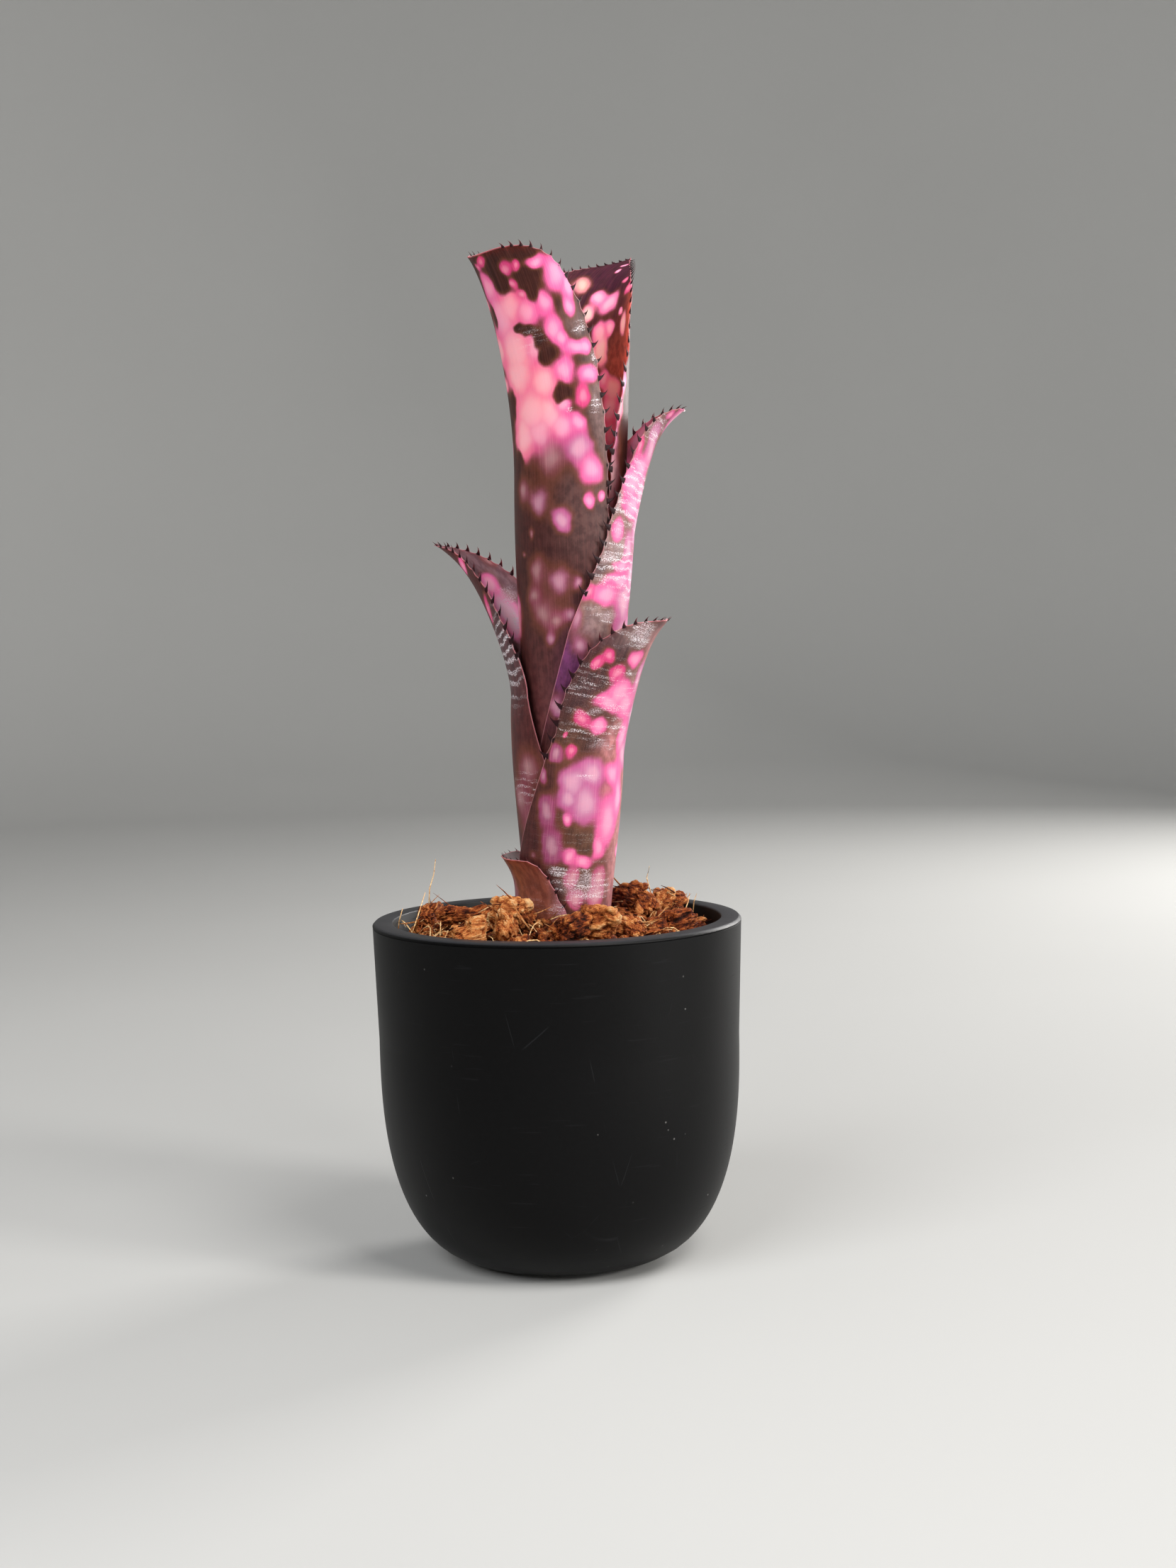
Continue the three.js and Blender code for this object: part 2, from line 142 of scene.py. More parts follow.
class Finish:
    """A named finish: one shader, and the nodes that vary it over the surface."""

    def __init__(self, name, **constants):
        self.material = bpy.data.materials.new(name)
        self.material.use_nodes = True
        self.shader = self.material.node_tree.nodes["Principled BSDF"]
        for socket, value in constants.items():
            self.shader.inputs[socket.replace("_", " ")].default_value = value

    def add(self, kind, settings=None, sockets=None, out=0):
        """One node: its settings first, a ramp's stops among them, then its sockets' values or links."""
        node = self.material.node_tree.nodes.new(kind)
        for name, value in (settings or {}).items():
            if name == "stops":
                while len(node.color_ramp.elements) < len(value):
                    node.color_ramp.elements.new(1.0)
                for element, (place, colour) in zip(node.color_ramp.elements, value):
                    element.position = place
                    element.color = colour
            else:
                setattr(node, name, value)
        for name, value in (sockets or {}).items():
            self.join(value, node.inputs[name])
        return Wire(self, node.outputs[out])

    def join(self, value, socket):
        if isinstance(value, Wire):
            self.material.node_tree.links.new(value.socket, socket)
        else:
            socket.default_value = value

    def gives(self, **sockets):
        """Joins wires to the shader, such as Base_Color=wire."""
        for name, value in sockets.items():
            self.join(value, self.shader.inputs[name.replace("_", " ")])

    def mixed(self, factor, first, second, blend="MIX"):
        """A colour between two colours."""
        return self.add(
            "ShaderNodeMix", {"data_type": "RGBA", "blend_type": blend}, {0: factor, 6: first, 7: second}, 2)

    def step(self, value, low, high, to_low=0.0, to_high=1.0):
        """A soft step: to_low below low, to_high above high."""
        return self.add(
            "ShaderNodeMapRange", {"interpolation_type": "SMOOTHSTEP"},
            {"Value": value, "From Min": low, "From Max": high, "To Min": to_low, "To Max": to_high})

    def attribute(self, name, out=2):
        """An attribute of the mesh: a number, or a colour with out=0, or a place with out=1."""
        return self.add("ShaderNodeAttribute", {"attribute_name": name}, out=out)

    def noise(self, place, stretch, detail=2.0, rough=0.5):
        """Noise of a place, with the number of grains per unit of each axis."""
        stretched = self.add("ShaderNodeVectorMath", {"operation": "MULTIPLY"}, {0: place, 1: stretch})
        return self.add("ShaderNodeTexNoise", {}, {
            "Vector": stretched, "Scale": 1.0, "Detail": detail, "Roughness": rough})

    def bump(self, height, depth, strength=1.0):
        """Relief of that depth in metres, joined to the shader's normal."""
        relief = self.add("ShaderNodeBump", {}, {"Height": height, "Distance": depth, "Strength": strength})
        self.gives(Normal=relief)


resin = Finish("matte_black_resin", IOR=1.46, Specular_IOR_Level=0.16)
on_pot = resin.add("ShaderNodeTexCoord", out=3)
grain = resin.noise(on_pot, (2600, 2600, 2600), 3)
cloud = resin.noise(on_pot, (38, 38, 30), 3)
rubs = resin.step(resin.noise(on_pot, (70, 90, 1500), 2), 0.67, 0.73)
pot_up = resin.add("ShaderNodeSeparateXYZ", {}, {"Vector": on_pot}, 2)
# The flat top of the rim is painted a lighter grey: partly dust on it, partly painted light that the top
# catches.
rim_dust_and_top_light = resin.step(pot_up, 0.0874, 0.0879) * (0.5 + resin.noise(on_pot, (300, 300, 300), 4) * 0.5)
specks = resin.add("ShaderNodeTexVoronoi", {"feature": "F1"}, {"Vector": on_pot, "Scale": 230.0})
dust = resin.step(specks, 0.075, 0.03) * resin.step(cloud, 0.5, 0.62)
scratches = resin.add("ShaderNodeTexVoronoi", {"feature": "DISTANCE_TO_EDGE"}, {
    "Vector": resin.add("ShaderNodeVectorMath", {"operation": "MULTIPLY"}, {0: on_pot, 1: (1, 1, 0.35)}),
    "Scale": 55.0})
scratch = resin.step(scratches, 0.006, 0.001) * resin.step(resin.noise(on_pot, (60, 60, 60), 1), 0.6, 0.68)
tint = resin.mixed(cloud, paint(2, 2, 2), paint(6, 6, 7))
tint = resin.mixed(rubs * 0.03 + scratch * 0.06 + rim_dust_and_top_light * 0.3, tint, paint(96, 96, 100))
tint = resin.mixed(dust * 0.45, tint, paint(170, 168, 165))
resin.gives(Base_Color=tint, Roughness=0.40 + cloud * 0.12 + rubs * 0.05 + dust * 0.2)
resin.bump(grain * 0.5 + dust * 1.5 - scratch * 0.8, 0.00003)

rim_top = POT_HEIGHT
chamfer_foot = rim_top - RIM_CHAMFER
pot_mesh = turned([
    (0, 0), (FOOT_RADIUS - 0.6, 0), *flank(FOOT_RADIUS, 0, BELLY_RADIUS, 48)[1:],
    (47.47, chamfer_foot - 0.42), (47.47 - MOULD_LINE_DEPTH, chamfer_foot - 0.34),
    (47.49 - MOULD_LINE_DEPTH, chamfer_foot - 0.24), (RIM_RADIUS, chamfer_foot - 0.16),
    (RIM_RADIUS, chamfer_foot - 0.08), (RIM_RADIUS - 0.05, chamfer_foot + 0.05),
    (RIM_RADIUS - RIM_CHAMFER + 0.07, rim_top - 0.05), (RIM_RADIUS - RIM_CHAMFER - 0.06, rim_top),
    (INNER_RIM + 0.32, rim_top), (INNER_RIM + 0.1, rim_top - 0.1), (INNER_RIM, rim_top - 0.32),
    *reversed(flank(INNER_FOOT, POT_FLOOR, INNER_BELLY, 24)), (0, POT_FLOOR),
], POT_SIDES)
pot = piece("pot_shell", pot_mesh, resin, 50)
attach(pot, "root")
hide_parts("pot")


# HUSK
# Chips of coconut husk fill the pot: a packed bed, and loose chips that lie half sunk in it. Each is a
# chunk of brown pith full of lengthwise fibres, torn at its ends, with splinters and crumbs around it.
BED_DEPTH_AT_WALL = 5.5
BED_DEPTH_AT_PLANT = 0.5
SEAT_GAP = 0.35
CHIP_COUNT = 46
CRUMB_COUNT = 240
FLAKE_COUNT = 96
CRISPNESS = 13
PLANT_X = 2.1
PLANT_LEAN = math.radians(2.3)
SOCKET_RADIUS = 13.6
FEATURE_CHIPS = [
    # x, y, z, length, width, height, turn, tilt, and how stringy it is
    (8, -26, 90, 16, 11, 11, 5, -10, 0.1), (17, -22, 89, 13, 9, 7, -25, 14, 0.3),
    (-10.5, -17, 92, 14, 9, 9, 30, 16, 0.1), (-13, -25, 90, 10, 7, 9, 80, 30, 0.2),
    (-21, -28, 88, 8, 7, 11, 20, -18, 0.9), (-22, -5, 90.5, 17, 6, 5.5, 8, 6, 1.0),
    (-33, 3, 89, 9, 7, 8, 60, -20, 0.8), (20, 8, 91.5, 13, 9, 9, -30, 22, 0.3),
    (28, -9, 88, 12, 9, 8, 20, -24, 0.9), (30, 19, 89.5, 10, 8, 9, 50, 10, 0.2),
    (34, 2, 86.5, 10, 8, 6, -15, 15, 0.6),
]

husk = Finish("coconut_husk", Specular_IOR_Level=0.25)
in_chip = husk.attribute("grain", 1)
chip_tone_and_crease_shade = husk.attribute("tone")
fibres = husk.noise(in_chip, (0.3, 3.2, 3.2), 3, 0.6)
pith = husk.noise(in_chip, (1.3, 1.6, 1.6), 4, 0.65)
crumbly = husk.noise(in_chip, (5, 6, 6), 2, 0.6)
grit = husk.noise(in_chip, (0.7, 0.9, 0.9), 6, 0.78)
# The colour follows the relief of the bump: the pits are painted near black as painted shade, and the crests
# pale as painted highlight, over the pith's own grain.
husk_grain_and_relief_shading = fibres * 0.34 + pith * 0.22 + crumbly * 0.12 + grit * 0.32
husk_colour = husk.add("ShaderNodeValToRGB", {"stops": [
    (0.37, paint(26, 9, 5)), (0.46, paint(92, 36, 16)), (0.54, paint(166, 84, 38)),
    (0.63, paint(220, 142, 78)), (0.76, paint(248, 206, 150)),
]}, {"Fac": husk_grain_and_relief_shading + (chip_tone_and_crease_shade - 0.5) * 0.42})
husk_colour = husk.mixed(husk.step(pith, 0.54, 0.68) * 0.4, husk_colour, paint(140, 54, 24))
husk.gives(Base_Color=husk_colour, Roughness=0.7 + fibres * 0.25)
husk.bump(fibres * 0.4 + pith * 0.2 + crumbly * 0.15 + grit * 0.5, 0.0016)


def bed_height(radius):
    """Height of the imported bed, which falls from the plant towards the wall."""
    away = min(1, radius / INNER_RIM)
    away = away * away * (3 - 2 * away)
    return POT_HEIGHT - BED_DEPTH_AT_PLANT - (BED_DEPTH_AT_WALL - BED_DEPTH_AT_PLANT) * away


def kept_clear(point):
    """A point of a chip, in millimetres, kept off the pot's wall and off the leaf bases."""
    x, y, z = point
    up = (min(z, POT_HEIGHT) - BELLY_HEIGHT) / (POT_HEIGHT - BELLY_HEIGHT)
    limit = INNER_BELLY + (INNER_RIM - INNER_BELLY) * up - SEAT_GAP
    radius = math.hypot(x, y)
    if radius > limit:
        x *= limit / radius
        y *= limit / radius
    axis = PLANT_X + (z - POT_HEIGHT) * math.sin(PLANT_LEAN)
    socket = SOCKET_RADIUS + 0.03 * max(0, z - POT_HEIGHT) ** 1.5
    away = math.hypot(x - axis, y)
    if z > 78.5 and 0.01 < away < socket:
        x = axis + (x - axis) * socket / away
        y *= socket / away
    return x, y, z


def husk_layers(bm):
    """The two attributes of husk: the place of each vertex in the grain, and its tone, which on the chips
    also carries painted shade in the creases.
    """
    return bm.verts.layers.float_vector.new("grain"), bm.verts.layers.float.new("tone")


def chip_mesh(length, width, height, cuts, seed, stringy=0.5):
    """One chip in its own place, broken off at odd angles, with its fibres along X. A stringy one is a
    bundle of fibres, the others are crumbly pith. Its tone is painted darker in the creases and lighter on
    the crests, as painted shade."""
    bm = bmesh.new()
    bmesh.ops.create_cube(bm, size=2)
    bmesh.ops.subdivide_edges(bm, edges=bm.edges[:], cuts=cuts, use_grid_fill=True)
    chance = random.Random(seed)
    half = Vector((length, width, height)) * 0.47
    shift = Vector((seed * 17.3, seed * 7.9, seed * 3.1))
    breaks = []
    for axis in range(3):
        for hand in (-1, 1):
            facing = Vector([chance.uniform(-0.2, 0.2) for _ in range(3)])
            facing[axis] = hand
            breaks.append(facing.normalized() / half[axis])
    for _ in range(9):
        facing = Vector([chance.gauss(0, 1) for _ in range(3)]).normalized()
        reach = sum(abs(facing[axis]) * half[axis] for axis in range(3))
        breaks.append(facing / (reach * chance.uniform(0.48, 0.8)))
    grain_layer, tone_layer = husk_layers(bm)
    tone = chance.uniform(0.3, 0.7)
    bend = chance.uniform(-0.012, 0.012)
    for vert in bm.verts:
        q = Vector((vert.co.x * half.x, vert.co.y * half.y, vert.co.z * half.z)).normalized()
        pulls = [(face, max(0, face.dot(q)) ** CRISPNESS) for face in breaks]
        total = sum(pull for _, pull in pulls)
        outwards = sum((face * pull for face, pull in pulls), Vector()).normalized()
        p = q / total ** (1 / CRISPNESS)
        strings = noise.turbulence(Vector((p.x * 0.10, p.y * 1.0, p.z * 1.0)) + shift, 3, True)
        clods = noise.turbulence(Vector((p.x * 0.3, p.y * 0.42, p.z * 0.42)) + shift, 4, True)
        lumps = noise.noise(p * 0.28 + shift)
        relief = stringy * 1.1 * (0.45 - strings) + (1 - stringy) * 1.3 * (clods - 0.42)
        p += outwards * (0.9 * lumps + 1.3 * relief)
        end = max(0, abs(q.x) - 0.75) * 4
        frayed = noise.turbulence(Vector((0, p.y * 1.2, p.z * 1.2)) + shift * 3, 2, True)
        p.x += math.copysign(1, q.x) * end * (0.6 + 2 * stringy) * 1.6 * (frayed - 0.4)
        p.z += bend * p.x * p.x
        vert.co = p
        vert[grain_layer] = p + shift
        # The tone is painted darker in the creases and lighter on the crests, as painted shade; the torn ends
        # are a little paler.
        vert[tone_layer] = tone + 0.6 * relief + 0.10 * end
    return mesh_of("chip", bm)


def joined(bm, mesh, place, keep=False):
    """Adds a placed copy of a mesh to a bmesh. `keep` leaves the mesh for the next copy."""
    copy = mesh.copy()
    copy.transform(place)
    bm.from_mesh(copy)
    bpy.data.meshes.remove(copy)
    if not keep:
        bpy.data.meshes.remove(mesh)


def lain(x, y, z, turn, tilt):
    """Where a chip lies: tilted about its width, turned about the vertical, then set down."""
    return (Matrix.Translation((x, y, z)) @ Matrix.Rotation(math.radians(turn), 4, "Z")
            @ Matrix.Rotation(math.radians(tilt), 4, "Y"))


chip_state = 20


def draw(low, high):
    """The next number of the same seeded row that laid the chips in the part's source."""
    global chip_state
    chip_state = (chip_state * 1664525 + 1013904223) % 2 ** 32
    return low + (high - low) * chip_state / 2 ** 32


loose_chips = []
for i in range(CHIP_COUNT):
    radius = math.sqrt((i + 0.5) / CHIP_COUNT) * (INNER_RIM - 4)
    angle = math.pi * (3 - math.sqrt(5)) * i
    z = bed_height(radius) + draw(-0.6, 1.6)
    loose_chips.append((
        radius * math.cos(angle), radius * math.sin(angle), z,
        draw(9, 15), draw(5.5, 9), draw(3.5, 6.5), draw(0, 180), draw(-30, 30),
    ))

bed = turned([
    (0, POT_FLOOR + SEAT_GAP),
    *flank(INNER_FOOT - SEAT_GAP, POT_FLOOR + SEAT_GAP, INNER_BELLY - SEAT_GAP, 24),
    *[(r, bed_height(r)) for r in (41.7, 40, 38, 36, 34, 32, 30, 28, 26, 24, 22, 20, 18, 16, 14.2)],
    (SOCKET_RADIUS, 86.5), (SOCKET_RADIUS - 0.4, 83), (SOCKET_RADIUS - 0.4, 78.6), (0, 78.6),
], 96)
bed_grain, bed_tone = husk_layers(bed)
for vert in bed.verts:
    p = vert.co / MM
    radius = math.hypot(p.x, p.y)
    if p.z > 78 and radius < 41:
        near = max(0, 1 - radius / 26)
        p.x += PLANT_X * min(1, 2.2 * near)
        if radius > 14:
            p.z += 1.3 * noise.fractal(p * 0.35, 0.8, 2.0, 3) - 2.4 * min(1, (radius - 14) / 4)
    vert.co = p * MM
    vert[bed_grain] = p
    vert[bed_tone] = 0.05
husk_bed = piece("husk_bed", bed, husk, 180)
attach(husk_bed, "root")
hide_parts("husk_chips")

scatter = random.Random(5)


def strewn(bare, reach):
    """A random place on the bed: x, y and the distance from the middle. `bare` is the share left free."""
    radius = math.sqrt(scatter.uniform(bare, 1)) * reach
    angle = scatter.uniform(0, 2 * math.pi)
    return radius * math.cos(angle), radius * math.sin(angle), radius


def settled(name, bm, finish):
    """A finished piece from a bmesh in millimetres, kept off the pot's wall and off the leaf bases."""
    for vert in bm.verts:
        vert.co = Vector(kept_clear(vert.co)) * MM
    return piece(name, bm, finish, 180)


chip_bm = bmesh.new()
for i, (x, y, z, length, width, height, turn, tilt) in enumerate(loose_chips):
    stringy = 0.5 + 0.5 * math.sin(2.4 * i)
    sunk = 1.3 + 0.035 * max(0, y)
    mesh = chip_mesh(length * 0.88, width * 0.72, height * 0.95, 16, i + 1, stringy)
    joined(chip_bm, mesh, lain(x, y, z - sunk, turn, tilt))
crumbs = [chip_mesh(3.2, 2.2, 1.8, 2, 140 + i) for i in range(10)]
for i in range(CRUMB_COUNT):
    x, y, radius = strewn(0.12, 40)
    z = bed_height(radius) + scatter.uniform(0, 3.2)
    place = lain(x, y, z, scatter.uniform(0, 360), scatter.uniform(-50, 50))
    joined(chip_bm, crumbs[i % 10], place @ Matrix.Scale(scatter.uniform(0.4, 1.3), 4), keep=True)
husk_pieces = settled("husk_pieces", chip_bm, husk)
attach(husk_pieces, "root")
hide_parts("husk_chips")

feature_bm = bmesh.new()
for i, (x, y, z, length, width, height, turn, tilt, stringy) in enumerate(FEATURE_CHIPS):
    for lump in (-1, 1):
        mesh = chip_mesh(length * 0.68, width * 0.74, height * 0.76, 24, 90 + 3 * i + lump, stringy)
        slip = Matrix.Translation((
            length * 0.17 * lump, width * scatter.uniform(-0.14, 0.14), height * scatter.uniform(-0.1, 0.1)))
        twist = lain(0, 0, 0, scatter.gauss(0, 18), scatter.gauss(0, 14))
        joined(feature_bm, mesh, lain(x, y, z - 0.8, turn, tilt) @ slip @ twist)
husk_top_pieces = settled("husk_top_pieces", feature_bm, husk)
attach(husk_top_pieces, "root")
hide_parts("husk_chips")

flakes = [
    chip_mesh(scatter.uniform(5, 9), scatter.uniform(1.5, 2.8), scatter.uniform(1.0, 1.8), 7, 200 + i, 1.0)
    for i in range(8)
]
flake_bm = bmesh.new()
for i in range(FLAKE_COUNT):
    x, y, radius = strewn(0.16, 39)
    z = bed_height(radius) + scatter.uniform(0.4, 3.2) - 0.03 * max(0, y)
    place = lain(x, y, z, scatter.uniform(0, 360), scatter.gauss(0, 22))
    joined(flake_bm, flakes[i % 8], place, keep=True)
husk_flakes = settled("husk_flakes", flake_bm, husk)
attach(husk_flakes, "root")


def extruded(bm, cap, keep):
    """Extrudes a cap and gives the new one and its vertices. `keep` leaves the old cap as a closed end."""
    grown = bmesh.ops.extrude_face_region(bm, geom=cap, use_keep_orig=keep)["geom"]
    faces = [e for e in grown if isinstance(e, bmesh.types.BMFace)]
    return faces, [e for e in grown if isinstance(e, bmesh.types.BMVert)]


def strand(points, radius, sides=5, tip=0.25, tone=0.8):
    """A thin fibre along a row of points in millimetres, thinner towards its end, closed at both."""
    bm = bmesh.new()
    points = [Vector(p) for p in points]
    places = []
    for i, point in enumerate(points):
        ahead = points[min(i + 1, len(points) - 1)] - points[max(i - 1, 0)]
        thick = radius * (1 - (1 - tip) * (i / (len(points) - 1)) ** 2)
        places.append(Matrix.Translation(point) @ ahead.to_track_quat("Z", "X").to_matrix().to_4x4()
                      @ Matrix.Scale(thick, 4))
    bmesh.ops.create_circle(bm, cap_ends=True, segments=sides, radius=1)
    bmesh.ops.transform(bm, matrix=places[0], verts=bm.verts[:])
    cap = bm.faces[:]
    for i in range(1, len(places)):
        cap, rim = extruded(bm, cap, i == 1)
        bmesh.ops.transform(bm, matrix=places[i] @ places[i - 1].inverted(), verts=rim)
    bmesh.ops.recalc_face_normals(bm, faces=bm.faces[:])
    grain_layer, tone_layer = husk_layers(bm)
    for vert in bm.verts:
        vert[grain_layer] = vert.co * 1.7
        vert[tone_layer] = tone
    return mesh_of("strand", bm)


splinters = []
for i in range(8):
    long = scatter.uniform(2.5, 6)
    sway = [scatter.uniform(-0.9, 0.9) for _ in range(2)]
    path = [(long * t, sway[0] * t * t, sway[1] * t * t) for t in (-0.25, 0.2, 0.6, 1)]
    splinters.append(strand(path, scatter.uniform(0.10, 0.26), 4, 0.2, scatter.uniform(0.2, 1.1)))
splinter_bm = bmesh.new()
for number, (x, y, z, length, width, height, turn, tilt, *_) in enumerate(loose_chips + FEATURE_CHIPS):
    for _ in range(18 if number >= CHIP_COUNT else 9):
        end = scatter.choice((-1, 1))
        spot = Vector((
            end * length * scatter.uniform(-0.2, 0.4), width * scatter.uniform(-0.4, 0.4),
            height * scatter.uniform(-0.1, 0.36) - 0.8))
        aim = Matrix.Rotation(math.radians(scatter.gauss(0 if end > 0 else 180, 16)), 4, "Z")
        aim = aim @ Matrix.Rotation(math.radians(scatter.gauss(-8, 16)), 4, "Y")
        grow = Matrix.Scale(scatter.uniform(0.6, 1.25), 4)
        joined(splinter_bm, splinters[scatter.randrange(8)],
               lain(x, y, z, turn, tilt) @ Matrix.Translation(spot) @ aim @ grow, keep=True)
husk_splinters = settled("husk_splinters", splinter_bm, husk)
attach(husk_splinters, "root")


# COIR HAIRS
# Long pale fibres of the husk lie over the chips, and a few stand up from them near the rim.
# They grow out of the chips, so each has its foot in one.
HAIR_COUNT = 110
STANDING_HAIRS = [
    [(-37.4, -12, 84), (-34.9, -12, 91), (-33, -12, 96.6)],
    [(-33.6, 8, 90), (-33.3, 9, 95), (-32.2, 9.5, 98.5), (-31.6, 10, 102.6)],
    [(-40.9, -5, 83), (-40.4, -5, 88.4), (-39.4, -5, 91.7)],
    [(36, 19, 86), (36.3, 20, 88.7), (37.9, 20, 91)],
    [(33.2, 14, 86), (34.6, 15, 89.5), (35, 15.5, 91.6)],
    [(-28.7, -30, 84), (-28.4, -30, 87.7), (-28.1, -30, 91.6)],
    [(13, 12, 92), (14.2, 12, 97), (12.6, 12, 101)],
    [(25, 10, 91), (23.6, 10, 96.5), (24.4, 10, 99.6)],
]

coir = Finish("pale_coir", Specular_IOR_Level=0.4)
on_hair = coir.attribute("grain", 1)
streaks = coir.noise(on_hair, (1.2, 1.2, 1.2), 3, 0.6)
coir.gives(
    Base_Color=coir.mixed(coir.step(streaks, 0.35, 0.65), paint(176, 116, 62), paint(240, 206, 150)),
    Roughness=0.5 + streaks * 0.2)
coir.bump(streaks, 0.00005)

hair_bm = bmesh.new()
for path in STANDING_HAIRS:
    joined(hair_bm, strand(path, 0.16, 5, 0.5), Matrix.Identity(4))
for _ in range(HAIR_COUNT):
    x, y, _ = strewn(0.16, 38)
    heading = scatter.uniform(0, 2 * math.pi)
    curl = scatter.uniform(-1.6, 1.6)
    long = scatter.uniform(5, 13)
    arch = scatter.uniform(1.0, 3.6)
    path = []
    for t in (0, 0.2, 0.4, 0.6, 0.8, 1):
        path.append((x, y, bed_height(math.hypot(x, y)) + 0.6 + 4 * arch * t * (1 - t) + 1.4 * t))
        x += long / 5 * math.cos(heading + curl * t)
        y += long / 5 * math.sin(heading + curl * t)
    joined(hair_bm, strand(path, scatter.uniform(0.1, 0.22), 4, 0.5), Matrix.Identity(4))
coir_hairs = settled("coir_hairs", hair_bm, coir)
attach(coir_hairs, "root")


# STEM AND ROOTS
# The short stem and its wiry roots hold the plant in the chips. They are all under the chips,
# so the plain solid stays and gets the look of brown root bark.
bark = Finish("root_bark", Specular_IOR_Level=0.3)
in_bark = bark.add("ShaderNodeTexCoord", out=3)
rings = bark.noise(in_bark, (300, 300, 1500), 3, 0.6)
bark.gives(
    Base_Color=bark.mixed(bark.step(rings, 0.35, 0.65), paint(74, 48, 30), paint(150, 120, 84)),
    Roughness=0.7 + rings * 0.2)
bark.bump(rings, 0.0002)
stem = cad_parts["stem_and_roots"]
stem.data.materials.clear()
stem.data.materials.append(bark.material)


# LEAVES
# Seven strap-shaped leaves rolled into a narrow tube, stiff and leathery, with thorns on their margins.
# The skin is chocolate maroon with soft pink blotches, and silver scale lies on it in wavy cross-bands.
LEAF_FOOT = -9.0
LEAF_THICKNESS = 0.7
MARGIN_THICKNESS = 0.28
WRAP_LIMIT = 2.75
THORN_SPACING_LOW = 4.4
THORN_SPACING_TIP = 1.7
THORN_SCALE_LOW = 1.15
THORN_SCALE_TIP = 0.5
MARGIN_STEPS = 600
SHAPE_KEYS = (
    "azimuth", "turn", "tip", "foot", "tube", "grown", "offset", "bend", "reach", "rise", "hook",
    "foot_half", "blade_half", "taper", "fullness", "blunt", "swell", "channel", "spines",
)

# The pinks of the blotches, and the browns and greys of the skin between them
HOT = paint(198, 74, 124)
PINK = paint(222, 124, 166)
PEACH = paint(242, 152, 164)
LAVENDER = paint(180, 118, 150)
PALE = paint(242, 196, 208)
BLUSH = paint(242, 162, 190)
CREAM = paint(186, 120, 124)
MAUVE = paint(160, 108, 128)
# A dim pink for blotches, painted darker as painted shade where the leaf lies in shade.
PINK_IN_SHADE = paint(132, 84, 88)
CHOCOLATE = paint(60, 24, 17)
WINE = paint(66, 24, 44)
# Painted light: the red of light glowing through the leaf from behind.
RED_GLOW = paint(248, 122, 96)
PLUM = paint(68, 34, 32)
ROSE = paint(80, 36, 36)
OLIVE = paint(92, 62, 44)
SLATE = paint(88, 64, 68)
DUSTY = paint(118, 66, 68)
WALNUT = paint(70, 38, 40)
# A grey of scale; on the tall front leaf's right margin it is also painted sheen.
ASH_GREY_AND_SHEEN = paint(150, 124, 120)
SILVER = paint(176, 146, 154)
PURPLE = paint(112, 52, 104)
RUST = paint(150, 84, 54)
TAN = paint(200, 130, 132)
ORCHID = paint(150, 86, 114)
DUSK = paint(178, 106, 126)
# Washes of these colours lie on the inner face alone
INNER_TINTS = (WINE, RED_GLOW, SILVER, PALE)

# Each blotch: across the blade from its midrib, height, half width, half height, colour.
# Each wash of the skin: the same, and how strong it is. Each gap among the blotches: the place and size.
# Each patch of silver scale, and each patch of stripes in it: the place, the size and how strong it is.
# "seen" is the part whose blotches are all laid here: from and to across the blade, and above a height.
# "scatter" is how many more the rest gets, and "glow" brightens those of the inner face, as painted light on
# it.
LEAVES = {}
LEAVES["heart_leaf"] = {
    "shape": (271, -22, 121, 5, 9.4, 96, 0.6, 110, 2.2, 2.5, 0, 13, 16.4, 68, 2, 0.75, 0, -0.2, 84),
    "rows": 120, "columns": 50, "seen": (0, 0, 0), "scatter": 26, "tints": (PINK, MAUVE), "skin": PURPLE,
    "blotches": [],
    "scurf": [(0, 60, 30, 60, 0.25)],
    "washes": [(0, 60, 40, 50, PLUM, 0.7)],
}
